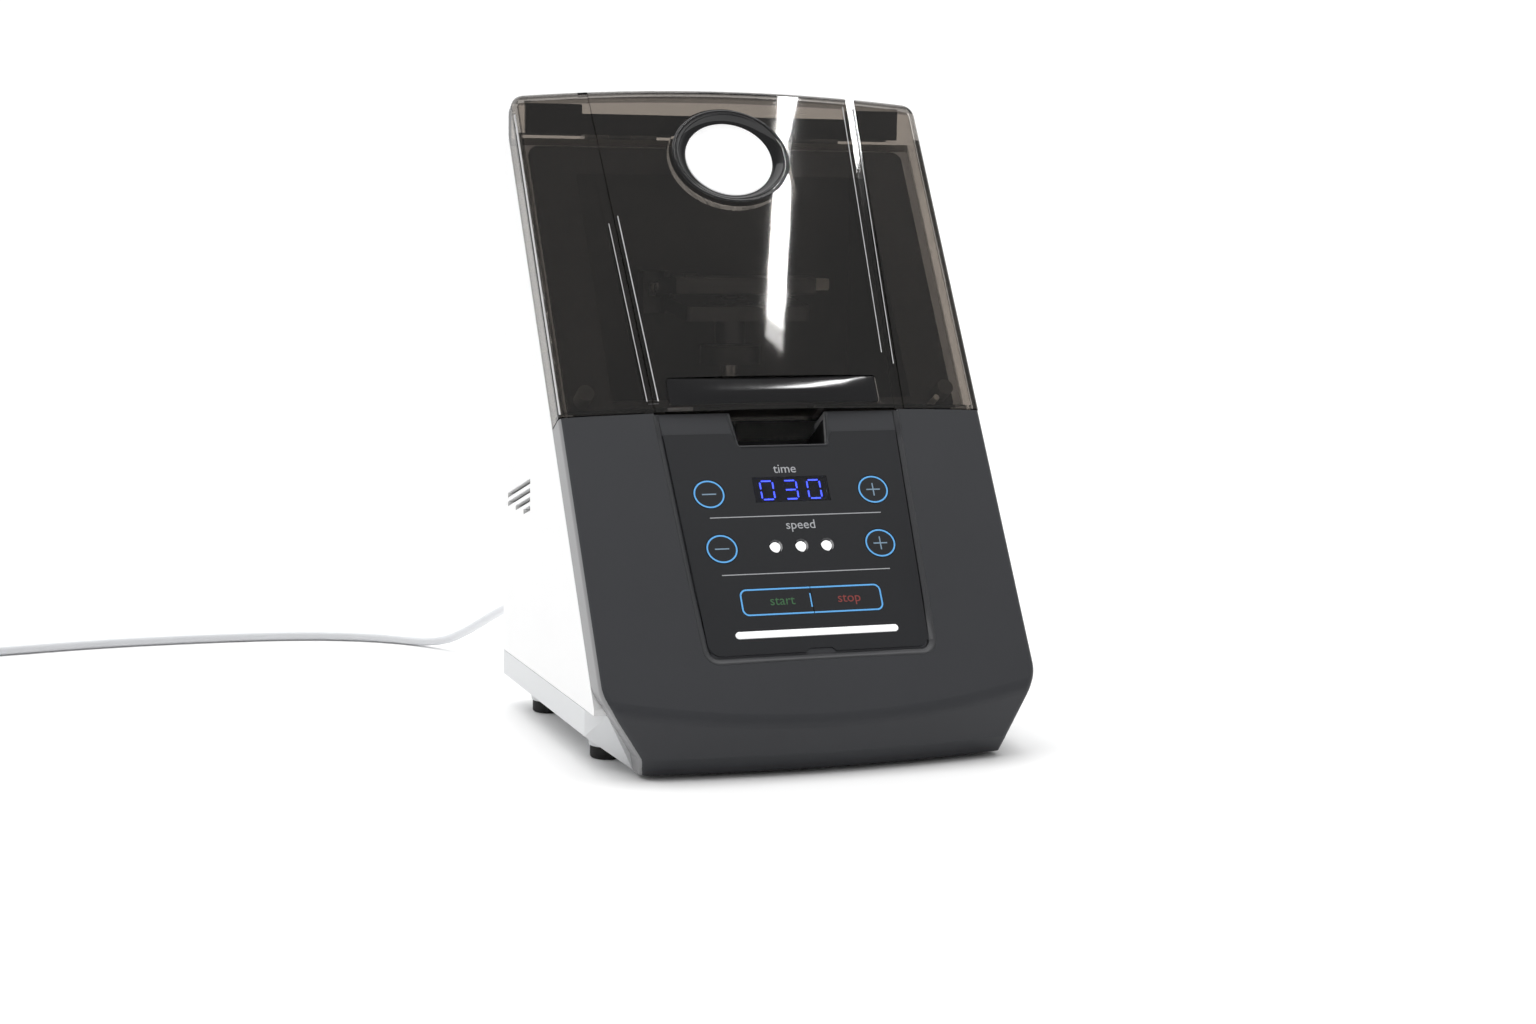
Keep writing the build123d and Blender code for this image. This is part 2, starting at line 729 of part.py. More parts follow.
with BuildPart() as lid_nameplate:
    with BuildSketch(face.offset(plate_depth)):
        with Locations((0, (plate_top + plate_bottom) / 2)):
            RectangleRounded(2 * (plate_half - fit_gap), plate_top - plate_bottom - 2 * fit_gap, 1.2)
    extrude(amount=plate_thick)
save("lid_nameplate", lid_nameplate)

flange_w = frame_w + 2.0
bumper_u = 90.0
bumper_v = 13.0
bumper_radius = 4.0
with BuildPart() as lid_bumpers:
    with BuildSketch(face.offset(flange_w + 0.2)):
        with Locations((-bumper_u, bumper_v), (bumper_u, bumper_v)):
            Circle(bumper_radius)
    extrude(amount=surface_w(bumper_u + bumper_radius) - lid_wall - flange_w - 0.25)
save("lid_bumpers", lid_bumpers)

# Lock: a strike on the lid and a solenoid bolt under the seam
strike_u = -45.0
strike_half = 6.2
strike_reach = 29.0
bolt_w = -24.0
bolt_radius = 2.2
bolt_play = 1.0
solenoid_top = -7.0
solenoid_length = 22.0
solenoid_half = 5.8
ear_thick = 2.0
ear_foot = 12.0
ear_foot_thick = 1.5
with BuildPart() as lid_strike:
    with BuildSketch(slope.offset(-lid_seam - lid_foot + 0.2)):
        with Locations((strike_u, -(strike_reach + lid_foot_depth) / 2)):
            Rectangle(2 * strike_half, strike_reach - lid_foot_depth)
        with Locations((strike_u, bolt_w)):
            Rectangle(2 * (bolt_radius + bolt_play), 2 * (bolt_radius + bolt_play), mode=Mode.SUBTRACT)
    extrude(amount=lid_foot - 0.7)
save("lid_strike", lid_strike)

with BuildPart() as lock_bolt:
    with BuildSketch(slope.offset(0.6)):
        with Locations((strike_u, bolt_w)):
            Circle(bolt_radius)
    extrude(amount=-solenoid_top + 12)
save("lock_bolt", lock_bolt)

with BuildPart() as lock_solenoid:
    with BuildSketch(slope.offset(-solenoid_top)):
        with Locations((strike_u, bolt_w)):
            Rectangle(2 * solenoid_half, 2 * solenoid_half)
    extrude(amount=solenoid_length)
    with BuildSketch(slope.offset(-solenoid_top)):
        with Locations((strike_u, bolt_w)):
            Circle(bolt_radius + fit_gap)
    extrude(amount=solenoid_length - 2, mode=Mode.SUBTRACT)
    back = bolt_w - solenoid_half
    ear_v = (tub_floor - tub_wall - slope_z(0, back)) / COS
    with BuildSketch(Plane.YZ.offset(strike_u)):
        add(outline(*[(slope_y(v, w), slope_z(v, w)) for v, w in (
            (solenoid_top - solenoid_length, back), (ear_v, back),
            (ear_v + ear_thick * SIN / COS, back - ear_thick), (ear_v, back - ear_thick), (solenoid_top - solenoid_length, back - ear_thick))]))
        foot_y = slope_y(ear_v, back)
        foot_top = tub_floor - tub_wall
        add(outline((foot_y, foot_top), (foot_y + ear_foot, foot_top),
                    (foot_y + ear_foot, foot_top - ear_foot_thick), (foot_y - 1, foot_top - ear_foot_thick)))
    extrude(amount=solenoid_half, both=True)
save("lock_solenoid", lock_solenoid)

lid_switch_length = 11.0
lid_switch_width = 8.0
lid_switch_depth = 14.0
lid_switch_floor = 2.0
plunger_gap = 0.2
plunger_rest = 0.5
switch_face_w = frame_w - wall
plunger_foot_w = switch_face_w - lid_switch_depth + plunger_rest
with BuildPart() as lid_switch:
    with BuildSketch(face.offset(switch_face_w)):
        with Locations((plunger_u, plunger_v)):
            Rectangle(lid_switch_length, lid_switch_width)
            Circle(plunger_radius + plunger_gap, mode=Mode.SUBTRACT)
    extrude(amount=-lid_switch_depth)
    with BuildSketch(face.offset(switch_face_w - lid_switch_depth)):
        with Locations((plunger_u, plunger_v)):
            Rectangle(lid_switch_length, lid_switch_width)
    extrude(amount=-lid_switch_floor)
save("lid_switch", lid_switch)

with BuildPart() as lid_plunger:
    with BuildSketch(face.offset(plunger_foot_w)):
        with Locations((plunger_u, plunger_v)):
            Circle(plunger_radius)
    extrude(amount=surface_w(plunger_u + plunger_radius) - lid_wall - plunger_gap - plunger_foot_w)
save("lid_plunger", lid_plunger)

# Hinge: a dark leaf on the lid's back, two pins and two brackets on the housing's ledge
hinge_y = 88.6
hinge_z = 284.0
hinge_radius = 3.6
hinge_pin_radius = 1.5
leaf_thick = 2.0
leaf_bottom = 281.0
leaf_top = 291.0
leaf_shoulder = 295.5
leaf_half = 97.0
leaf_step_u = 69.0
leaf_screw_u = (26.0, 83.0)
knuckle_inner = 42.0
knuckle_outer = 54.0
bracket_reach = 12.0
knuckle_gap = 0.3
bracket_base = 1.1
with BuildPart() as lid_hinge_leaf:
    with BuildSketch(Plane.XZ.offset(-lid_back_y)):
        add(outline((-leaf_half, leaf_bottom), (leaf_half, leaf_bottom), (leaf_half, leaf_shoulder),
                    (leaf_step_u, leaf_shoulder), (leaf_step_u, leaf_top), (-leaf_step_u, leaf_top),
                    (-leaf_step_u, leaf_shoulder), (-leaf_half, leaf_shoulder)))
    extrude(amount=-leaf_thick)
    for side in (-1, 1):
        middle = side * (knuckle_inner + knuckle_outer) / 2
        with Locations((middle, (lid_back_y + hinge_y) / 2, hinge_z + 0.3)):
            Box(knuckle_outer - knuckle_inner, hinge_y - lid_back_y, 2 * hinge_radius - 1.4)
        with Locations(Location((middle, hinge_y, hinge_z), (0, 90, 0))):
            Cylinder(hinge_radius, knuckle_outer - knuckle_inner)
    with Locations(Location((0, hinge_y, hinge_z), (0, 90, 0))):
        Cylinder(hinge_pin_radius + 0.05, body_width, mode=Mode.SUBTRACT)
    with BuildSketch(Plane.XZ.offset(-lid_back_y - leaf_thick)):
        with Locations(*[(side * u, leaf_bottom + 6) for side in (-1, 1) for u in leaf_screw_u]):
            Circle(2.6)
    extrude(amount=-1.5)
save("lid_hinge_leaf", lid_hinge_leaf)

with BuildPart() as hinge_brackets:
    for side in (-1, 1):
        middle = side * (knuckle_inner + knuckle_outer) / 2
        span = knuckle_outer - knuckle_inner + 2 * (bracket_reach + knuckle_gap)
        with Locations((middle, hinge_y + 0.4, housing_top + bracket_base / 2)):
            Box(span + 20, 8.4, bracket_base)
        for end in (-1, 1):
            x = middle + end * (span - bracket_reach) / 2
            with Locations((x, hinge_y, (housing_top + hinge_z) / 2)):
                Box(bracket_reach, 2 * hinge_radius - 0.4, hinge_z - housing_top)
            with Locations(Location((x, hinge_y, hinge_z), (0, 90, 0))):
                Cylinder(hinge_radius, bracket_reach)
    with Locations(Location((0, hinge_y, hinge_z), (0, 90, 0))):
        Cylinder(hinge_pin_radius, body_width, mode=Mode.SUBTRACT)
save("hinge_brackets", hinge_brackets)

with BuildPart() as hinge_pins:
    for side in (-1, 1):
        middle = side * (knuckle_inner + knuckle_outer) / 2
        with Locations(Location((middle, hinge_y, hinge_z), (0, 90, 0))):
            Cylinder(hinge_pin_radius, knuckle_outer - knuckle_inner + 2 * (bracket_reach + knuckle_gap))
save("hinge_pins", hinge_pins)

# Chamber: a dark tub behind the lid, with the shaft's seal in its floor
tub_top = 262.0
tub_back = 88.0
tub_rim_w = -11.0
tub_shelf_w = -19.3
tub_shelf_v = 12.5
shaft_y = 56.0
shaft_radius = 4.0
floor_hole = 9.0
flange_half = 97.0
flange_bottom = 5.0
flange_top = 150.0
flange_thick = 2.0

guide_x = -30.5
bracket_low = 194.0
bracket_high = 215.0
bracket_screw_z = 205.0
bracket_screw_hole = 1.25


def tub_profile(grow):
    """The chamber seen from the side, drawn out by grow."""
    shelf = tub_shelf_w + grow
    low = tub_floor - grow
    high = tub_top + grow
    return outline((tub_back + grow, low), (tub_back + grow, high), (face_y(high, tub_rim_w), high),
                   (slope_y(tub_shelf_v - grow, tub_rim_w), slope_z(tub_shelf_v - grow, tub_rim_w)),
                   (slope_y(tub_shelf_v - grow, shelf), slope_z(tub_shelf_v - grow, shelf)),
                    (face_y(low, shelf), low))


with BuildPart() as chamber_liner:
    with BuildSketch(Plane.YZ):
        add(tub_profile(tub_wall))
    extrude(amount=chamber_half + tub_wall, both=True)
    with BuildSketch(face.offset(frame_w)):
        Rectangle(4 * half_width, 4 * half_width)
    extrude(amount=3 * rim_depth, mode=Mode.SUBTRACT)
    with BuildSketch(face.offset(frame_w)):
        with Locations((0, (flange_top + flange_bottom) / 2)):
            RectangleRounded(2 * flange_half, flange_top - flange_bottom, 5)
    extrude(amount=flange_thick)
    with BuildSketch(Plane.YZ):
        add(tub_profile(0))
    extrude(amount=chamber_half, both=True, mode=Mode.SUBTRACT)
    with BuildSketch(Plane.XY.offset(tub_floor - 2 * tub_wall)):
        with Locations((0, shaft_y)):
            Circle(floor_hole)
    extrude(amount=4 * tub_wall, mode=Mode.SUBTRACT)
    with BuildSketch(face.offset(frame_w - 1)):
        with Locations((plunger_u, plunger_v)):
            Circle(plunger_radius + fit_gap)
    extrude(amount=2 * flange_thick, mode=Mode.SUBTRACT)
    with BuildSketch(Plane.XZ.offset(-tub_back)):
        with Locations((guide_x, bracket_screw_z)):
            Circle(bracket_screw_hole)
    extrude(amount=-2 * tub_wall, mode=Mode.SUBTRACT)
save("chamber_liner", chamber_liner)

with BuildPart() as shaft_seal:
    with BuildSketch(Plane.XY.offset(tub_floor)):
        with Locations((0, shaft_y)):
            Circle(floor_hole + 4)
    extrude(amount=1.5)
    with BuildSketch(Plane.XY.offset(tub_floor - tub_wall)):
        with Locations((0, shaft_y)):
            Circle(floor_hole - 0.2)
    extrude(amount=tub_wall)
    with Locations((0, shaft_y, tub_floor)):
        Cylinder(shaft_radius + 0.5, 20, mode=Mode.SUBTRACT)
save("shaft_seal", shaft_seal)

buffer_x = 57.5
with BuildPart() as rest_buffer:
    with BuildSketch(Plane.XZ.offset(-tub_back)):
        with Locations((buffer_x, 208.0)):
            RectangleRounded(11.0, 6.0, 1.0)
    extrude(amount=4.0)
save("rest_buffer", rest_buffer)

# Carrier frame: a plane through the wobble centre, tipped towards the front
wobble_tilt = 6.0
wobble_z = 199.5
wobble = Plane(origin=(0, shaft_y, wobble_z), x_dir=(1, 0, 0),
               z_dir=(0, -sin(radians(wobble_tilt)), cos(radians(wobble_tilt))))
tube_pitch = 14.0
tube_radius = 5.5
tube_row = -18.0
tube_count = 3
plate_half_x = 31.4
plate_front = -28.0
plate_back = 17.0
plate_half_z = 3.5
hub_bearing_radius = 7.5
hub_bearing_bore = 3.0
hub_bearing_half = 2.5
tongue_half = 2.5
tongue_thick = 3.0
tongue_front = 12.5
tongue_back = 27.5
tongue_screw_row = 15.0
tongue_play = 1.5
bail_axis_y = 6.0
bail_axis_z = 7.5
bail_pin_radius = 1.5
bail_inner = 31.7
bail_outer = 35.7
bail_bar_y = -18.0
bail_bar_z = 12.5
bail_bar_half = 4.2
slider_x = -25.0
slider_half = 3.2
slider_travel = 5.0
post_half = 5.5


def across(x):
    """A plane across the carrier at x: its own x runs along the carrier's y."""
    return Plane(origin=(x, shaft_y, wobble_z), x_dir=wobble.y_dir, z_dir=(1, 0, 0))


with BuildPart() as tube_carrier:
    with BuildSketch(wobble.offset(-plate_half_z)):
        with Locations((0, (plate_back + plate_front) / 2)):
            RectangleRounded(2 * plate_half_x, plate_back - plate_front, 3)
        with Locations(*[((step - 1) * tube_pitch, tube_row) for step in range(tube_count)]):
            Circle(tube_radius, mode=Mode.SUBTRACT)
        Circle(hub_bearing_radius + 0.02, mode=Mode.SUBTRACT)
    extrude(amount=2 * plate_half_z)
    with BuildSketch(wobble.offset(-plate_half_z)):
        Circle(hub_bearing_radius + 0.1)
        Circle(hub_bearing_radius - 1.2, mode=Mode.SUBTRACT)
    extrude(amount=1.0)
    for side in (-1, 1):
        with BuildSketch(across(side * 29.9)):
            with Locations((bail_axis_y, (bail_axis_z + plate_half_z) / 2 - 2)):
                Rectangle(2 * post_half, bail_axis_z + 4)
            with Locations((bail_axis_y, bail_axis_z)):
                Circle(post_half)
            with Locations((bail_axis_y, bail_axis_z)):
                Circle(bail_pin_radius, mode=Mode.SUBTRACT)
        extrude(amount=1.5, both=True)
save("tube_carrier", tube_carrier)

# Clamp over the tubes: a bail that swings up on two pins, with a sliding catch in its bar
slider_depth = 3.0
slider_wide = 2.6
bail_arm_radius = 4.0
with BuildPart() as clamp_bail:
    with BuildSketch(across(-bail_outer)):
        with Locations((bail_bar_y, bail_bar_z)):
            RectangleRounded(2 * bail_bar_half, 2 * bail_bar_half, 1.2)
        with Locations((bail_axis_y, bail_axis_z)):
            Circle(bail_arm_radius)
        add(outline((bail_bar_y, bail_bar_z - 3.6), (bail_axis_y, bail_axis_z - 3.6),
                    (bail_axis_y, bail_axis_z + 3.6),
                    (bail_bar_y, bail_bar_z + 3.6)))
    extrude(amount=2 * bail_outer)
    with BuildSketch(across(-bail_inner)):
        with Locations(((bail_axis_y + bail_bar_y) / 2 + bail_bar_half + 6, bail_axis_z)):
            Rectangle(bail_axis_y - bail_bar_y + 12, 40)
    extrude(amount=2 * bail_inner, mode=Mode.SUBTRACT)
    with BuildSketch(across(-bail_outer)):
        with Locations((bail_axis_y, bail_axis_z)):
            Circle(bail_pin_radius + 0.05)
    extrude(amount=2 * bail_outer, mode=Mode.SUBTRACT)
    with BuildSketch(wobble.offset(bail_bar_z + bail_bar_half - slider_depth)):
        with Locations((slider_x, bail_bar_y)):
            Rectangle(2 * slider_half + slider_travel + 0.6, 2 * slider_wide + 0.6)
    extrude(amount=slider_depth + 1, mode=Mode.SUBTRACT)
save("clamp_bail", clamp_bail)

with BuildPart() as clamp_slider:
    with BuildSketch(wobble.offset(bail_bar_z + bail_bar_half - slider_depth)):
        with Locations((slider_x - slider_travel / 2, bail_bar_y)):
            RectangleRounded(2 * slider_half, 2 * slider_wide, 0.8)
    extrude(amount=slider_depth + 1.4)
save("clamp_slider", clamp_slider)

with BuildPart() as bail_pins:
    for side in (-1, 1):
        with BuildSketch(across(side * 28.4)):
            with Locations((bail_axis_y, bail_axis_z)):
                Circle(bail_pin_radius)
        extrude(amount=side * (bail_outer + 0.3 - 28.4))
        with BuildSketch(across(side * (bail_outer + 0.3))):
            with Locations((bail_axis_y, bail_axis_z)):
                Circle(bail_pin_radius + 1.1)
        extrude(amount=side * 1.0)
save("bail_pins", bail_pins)

# Guide: a tongue on the carrier runs between two cheeks on the chamber's back wall, so the
# carrier wobbles without turning with the shaft
bracket_half = 7.0
bracket_plate = 2.0
cheek_reach = 9.0
with BuildPart() as guide_tongue:
    with BuildSketch(wobble.offset(plate_half_z)):
        with Locations((guide_x, (tongue_front + tongue_back) / 2)):
            RectangleRounded(2 * tongue_half, tongue_back - tongue_front, 1.5)
    extrude(amount=tongue_thick)
    with BuildSketch(wobble.offset(plate_half_z + tongue_thick)):
        with Locations((guide_x, tongue_screw_row)):
            Circle(1.8)
    extrude(amount=1.2)
save("guide_tongue", guide_tongue)

with BuildPart() as guide_bracket:
    with Locations((guide_x, tub_back - bracket_plate / 2, (bracket_low + bracket_high) / 2)):
        Box(2 * bracket_half, bracket_plate, bracket_high - bracket_low)
    for side in (-1, 1):
        cheek_x = guide_x + side * (tongue_half + tongue_play + bracket_half) / 2
        with Locations((cheek_x, tub_back - cheek_reach / 2, (bracket_low + bracket_high) / 2)):
            Box(bracket_half - tongue_half - tongue_play, cheek_reach, bracket_high - bracket_low)
    with Locations(Location((guide_x, tub_back, bracket_screw_z), (90, 0, 0))):
        Cylinder(bracket_screw_hole, 10, mode=Mode.SUBTRACT)
save("guide_bracket", guide_bracket)

# Drive: motor, bracket on soft feet, bearing, shaft and the skewed hub that wobbles the carrier
motor_radius = 26.0
motor_bottom = 40.0
motor_top = 110.0
plate_thick = 3.0
bracket_half_x = 40.0
bracket_half_y = 18.0
bracket_bottom = 24.0
cheek_thick = 2.0
bearing_radius = 11.0
bearing_height = 7.0
bearing_bottom = 113.3
shaft_bottom = 96.0
shaft_top = 190.0
shaft_fit = 0.02
isolator_radius = 5.0
isolator_spots = [(side * 46.0, shaft_y + step * 12.0) for side in (-1, 1) for step in (-1, 1)]
hub_radius = 7.5
hub_bottom = 180.5
hub_gap = 4.2
journal_radius = 2.94
shoulder_gap = 0.1
journal_shoulder = 4.4
weight_radius = 15.0
weight_bottom = 171.0
weight_top = 180.0

with BuildPart() as drive_motor:
    with Locations((0, shaft_y, (motor_bottom + motor_top) / 2)):
        Cylinder(motor_radius, motor_top - motor_bottom)
    fillet(drive_motor.edges(), radius=1.5)
    with Locations((0, shaft_y, motor_top)):
        Cylinder(shaft_radius + 0.5, 2 * (motor_top - shaft_bottom + 1), mode=Mode.SUBTRACT)
    for step in range(8):
        angle = 2 * pi * (step + 0.5) / 8
        with Locations(Location((motor_radius * cos(angle), shaft_y + motor_radius * sin(angle), motor_bottom + 12),
                                (0, 0, 360 * (step + 0.5) / 8))):
            Box(4, 3, 12, mode=Mode.SUBTRACT)
save("drive_motor", drive_motor)

with BuildPart() as drive_bracket:
    with Locations((0, shaft_y, motor_top + plate_thick / 2)):
        Box(2 * bracket_half_x, 2 * bracket_half_y, plate_thick)
    for side in (-1, 1):
        with Locations((side * (bracket_half_x - cheek_thick / 2), shaft_y, (motor_top + bracket_bottom) / 2)):
            Box(cheek_thick, 2 * bracket_half_y, motor_top - bracket_bottom)
        with Locations((side * (bracket_half_x + 5), shaft_y, bracket_bottom + 1)):
            Box(14, 2 * bracket_half_y, 2)
    with Locations((0, shaft_y, motor_top + plate_thick)):
        Cylinder(bearing_radius + 4, bearing_height + 1.2, align=(Align.CENTER, Align.CENTER, Align.MIN))
    with Locations((0, shaft_y, bearing_bottom)):
        Cylinder(bearing_radius + shaft_fit, bearing_height + 2, align=(Align.CENTER, Align.CENTER, Align.MIN),
                 mode=Mode.SUBTRACT)
        Cylinder(bearing_radius - 2, 20, mode=Mode.SUBTRACT)
save("drive_bracket", drive_bracket)

with BuildPart() as drive_isolators:
    with BuildSketch(Plane.XY.offset(tray_floor)):
        with Locations(*isolator_spots):
            Circle(isolator_radius)
    extrude(amount=bracket_bottom - tray_floor)
save("drive_isolators", drive_isolators)

with BuildPart() as shaft_bearing:
    with Locations((0, shaft_y, bearing_bottom)):
        Cylinder(bearing_radius, bearing_height, align=(Align.CENTER, Align.CENTER, Align.MIN))
    with Locations((0, shaft_y, bearing_bottom + bearing_height / 2)):
        Cylinder(shaft_radius + shaft_fit, 2 * bearing_height, mode=Mode.SUBTRACT)
save("shaft_bearing", shaft_bearing)

with BuildPart() as drive_shaft:
    with Locations((0, shaft_y, shaft_bottom)):
        Cylinder(shaft_radius, shaft_top - shaft_bottom, align=(Align.CENTER, Align.CENTER, Align.MIN))
    chamfer(drive_shaft.edges(), length=0.5)
save("drive_shaft", drive_shaft)

with BuildPart() as skew_hub:
    with Locations((0, shaft_y, hub_bottom)):
        Cylinder(hub_radius, wobble_z - hub_bottom, align=(Align.CENTER, Align.CENTER, Align.MIN))
    with BuildSketch(wobble.offset(-hub_gap)):
        Rectangle(60, 60)
    extrude(amount=30, mode=Mode.SUBTRACT)
    with BuildSketch(wobble.offset(-hub_gap)):
        Circle(journal_shoulder)
    extrude(amount=hub_gap - hub_bearing_half - shoulder_gap)
    with BuildSketch(wobble.offset(-hub_bearing_half - shoulder_gap)):
        Circle(journal_radius)
    extrude(amount=2 * hub_bearing_half + 2 * shoulder_gap)
    with Locations((0, shaft_y, hub_bottom)):
        Cylinder(shaft_radius + shaft_fit, 2 * (shaft_top - hub_bottom + 0.2), mode=Mode.SUBTRACT)
    with BuildSketch(wobble.offset(hub_bearing_half + shoulder_gap)):
        Circle(journal_shoulder)
    extrude(amount=1.6)
    with BuildSketch(wobble.offset(hub_bearing_half + shoulder_gap + 1.6)):
        Circle(2.4)
    extrude(amount=1.4)
save("skew_hub", skew_hub)

with BuildPart() as hub_bearing:
    with BuildSketch(wobble.offset(-hub_bearing_half)):
        Circle(hub_bearing_radius)
        Circle(hub_bearing_bore, mode=Mode.SUBTRACT)
    extrude(amount=2 * hub_bearing_half)
save("hub_bearing", hub_bearing)

with BuildPart() as counterweight:
    with BuildSketch(Plane.XY.offset(weight_bottom)):
        with Locations((0, shaft_y)):
            Circle(weight_radius)
            with Locations((0, weight_radius)):
                Rectangle(2 * weight_radius, 2 * weight_radius - 4, mode=Mode.SUBTRACT)
            Circle(hub_radius)
            Circle(shaft_radius + shaft_fit, mode=Mode.SUBTRACT)
    extrude(amount=weight_top - weight_bottom)
save("counterweight", counterweight)

# Electrics inside the base


def pcb(x):
    """A flat board on the tray at x."""
    with BuildPart() as board:
        with BuildSketch(Plane.XY.offset(boards_bottom)):
            with Locations((x, (boards_front + boards_back) / 2)):
                Rectangle(2 * board_half_x, boards_back - boards_front)
        extrude(amount=pcb_thick)
    return board.part


def blocks(parts):
    """Plain components: each is x, y, size in x, size in y and height above the board."""
    with BuildPart() as group:
        for x, y, long, wide, high in parts:
            with Locations((x, y, boards_bottom + pcb_thick + high / 2)):
                Box(long, wide, high)
    return group.part


transformer_high = 24.0
sink_length = 34.0
sink_fin = 2.0
sink_pitch = 6.0
with BuildPart() as power_board:
    add(pcb(power_x))
    add(blocks(((power_x, 56, 30, 12, 14), (power_x - 10, -12, 16, 10, 12), (power_x + 10, -12, 12, 18, 16))))
    add(blocks(((power_x, 16, 32, 26, transformer_high),)))
    with Locations((power_x, 16, boards_bottom + pcb_thick + transformer_high / 2)):
        Box(20, 33, 18)
save("power_board", power_board)

with BuildPart() as driver_board:
    add(pcb(driver_x))
    add(blocks(((driver_x - 8, -13, 10, 20, 9), (driver_x + 12, 52, 14, 18, 12),
                (driver_x - 8, 56, 12, 10, 10))))
    add(blocks(((driver_x, 16, sink_length, sink_length, 4),)))
    add(blocks([(driver_x + (step - 2.5) * sink_pitch, 16, sink_fin, sink_length, 20) for step in range(6)]))
save("driver_board", driver_board)

small_screw_radius = 2.75
small_screw_height = 2.0
bracket_screw_radius = 1.2
bracket_screw_head = 2.6
bracket_screw_head_height = 1.6
bracket_screw_length = 4.5
upright_screws = [(side * 20, shaft_y, motor_top + plate_thick) for side in (-1, 1)]
upright_screws += [(x, y, bracket_bottom + 2) for x, y in isolator_spots]
upright_screws += [(x, y, boards_bottom + pcb_thick) for x, y in pcb_posts]
with BuildPart() as inner_screws:
    add(board_screws.part)
    for spot in upright_screws:
        with Locations(spot):
            Cylinder(small_screw_radius, small_screw_height, align=(Align.CENTER, Align.CENTER, Align.MIN))
    with Locations(Location((guide_x, tub_back - bracket_plate, bracket_screw_z), (90, 0, 0))):
        Cylinder(bracket_screw_head, bracket_screw_head_height, align=(Align.CENTER, Align.CENTER, Align.MIN))
        Cylinder(bracket_screw_radius, bracket_screw_length, align=(Align.CENTER, Align.CENTER, Align.MAX))
save("inner_screws", inner_screws)

# Fan on the rear wall
fan_back = rear_y - wall
fan_front = fan_back - fan_depth
fan_hub_radius = 12.0
fan_tip_radius = 26.5
fan_blades = 7
fan_axle = 1.5
fan_hub_front = 10.8
fan_spoke_thick = 2.2
fan_screw_hole = 2.2
fan_screw_head = 1.4
fan_screw_head_radius = 2.8
fan_screw_radius = 1.8
fan_screw_length = 8.5


def behind(y):
    """An upright plane at y, facing the back, whose own x runs along -X."""
    return Plane(origin=(0, y, 0), x_dir=(-1, 0, 0), z_dir=(0, 1, 0))


with BuildPart() as fan_frame:
    with BuildSketch(behind(fan_front)):
        with Locations((-fan_x, fan_z)):
            RectangleRounded(fan_size, fan_size, 4)
            Circle(fan_bore + 0.5, mode=Mode.SUBTRACT)
        with Locations(*[(-fan_x + x, fan_z + z) for x, z in fan_corners]):
            Circle(fan_screw_hole, mode=Mode.SUBTRACT)
    extrude(amount=fan_depth)
    with BuildSketch(behind(fan_back - fan_spoke_thick)):
        with Locations((-fan_x, fan_z)):
            Circle(fan_hub_radius)
            for turn in (90, 210, 330):
                with Locations(Location((0, 0), turn)):
                    with Locations(((fan_hub_radius + fan_bore) / 2, 0)):
                        Rectangle(fan_bore - fan_hub_radius + 2, 3)
    extrude(amount=fan_spoke_thick)
    with BuildSketch(behind(fan_back - 12)):
        with Locations((-fan_x, fan_z)):
            Circle(fan_axle)
    extrude(amount=10)
save("fan_frame", fan_frame)

with BuildPart() as outer_screws:
    for seat, (spots, tip) in screw_rows.items():
        with BuildSketch(Plane.XY.offset(seat - screw_head_height)):
            with Locations(*spots):
                Circle(screw_head_radius)
        extrude(amount=screw_head_height)
        with BuildSketch(Plane.XY.offset(seat)):
            with Locations(*spots):
                Circle(base_screw_radius)
        extrude(amount=tip - seat)
    with BuildSketch(behind(rear_y - fan_screw_head - 0.1)):
        with Locations(*[(-fan_x + x, fan_z + z) for x, z in fan_corners]):
            Circle(fan_screw_head_radius)
    extrude(amount=fan_screw_head)
    with BuildSketch(behind(rear_y - 10)):
        with Locations(*[(-fan_x + x, fan_z + z) for x, z in fan_corners]):
            Circle(fan_screw_radius)
    extrude(amount=fan_screw_length)
save("outer_screws", outer_screws)

with BuildPart() as fan_rotor:
    with BuildSketch(behind(fan_front + 1.5)):
        with Locations((-fan_x, fan_z)):
            Circle(fan_hub_radius)
    extrude(amount=fan_hub_front)
    for step in range(fan_blades):
        with Locations(Location((fan_x, fan_front + 6.9, fan_z), (0, 360 * step / fan_blades, 0))):
            with Locations(Location(((fan_hub_radius + fan_tip_radius) / 2, 0, 0), (35, 0, 0))):
                Box(fan_tip_radius - fan_hub_radius + 1, 1.2, 11)
    with BuildSketch(behind(fan_back - 12.2)):
        with Locations((-fan_x, fan_z)):
            Circle(fan_axle + 0.05)
    extrude(amount=12, mode=Mode.SUBTRACT)
save("fan_rotor", fan_rotor)

# Mains switch on the rear wall
switch_gap = 0.15
rocker_half_x = 6.0
rocker_half_z = 8.4
rocker_open_x = 6.3
rocker_open_z = 9.6
rocker_y = 88.0
rocker_tilt = 8.0
rocker_pin = 1.5
rocker_pin_length = 15.0
rocker_root = 2.5
rocker_root_half = 6.0
rocker_tip = 4.6
rocker_vee = 3.4
switch_front = 78.0
switch_floor = 84.0
switch_flange = 2.0

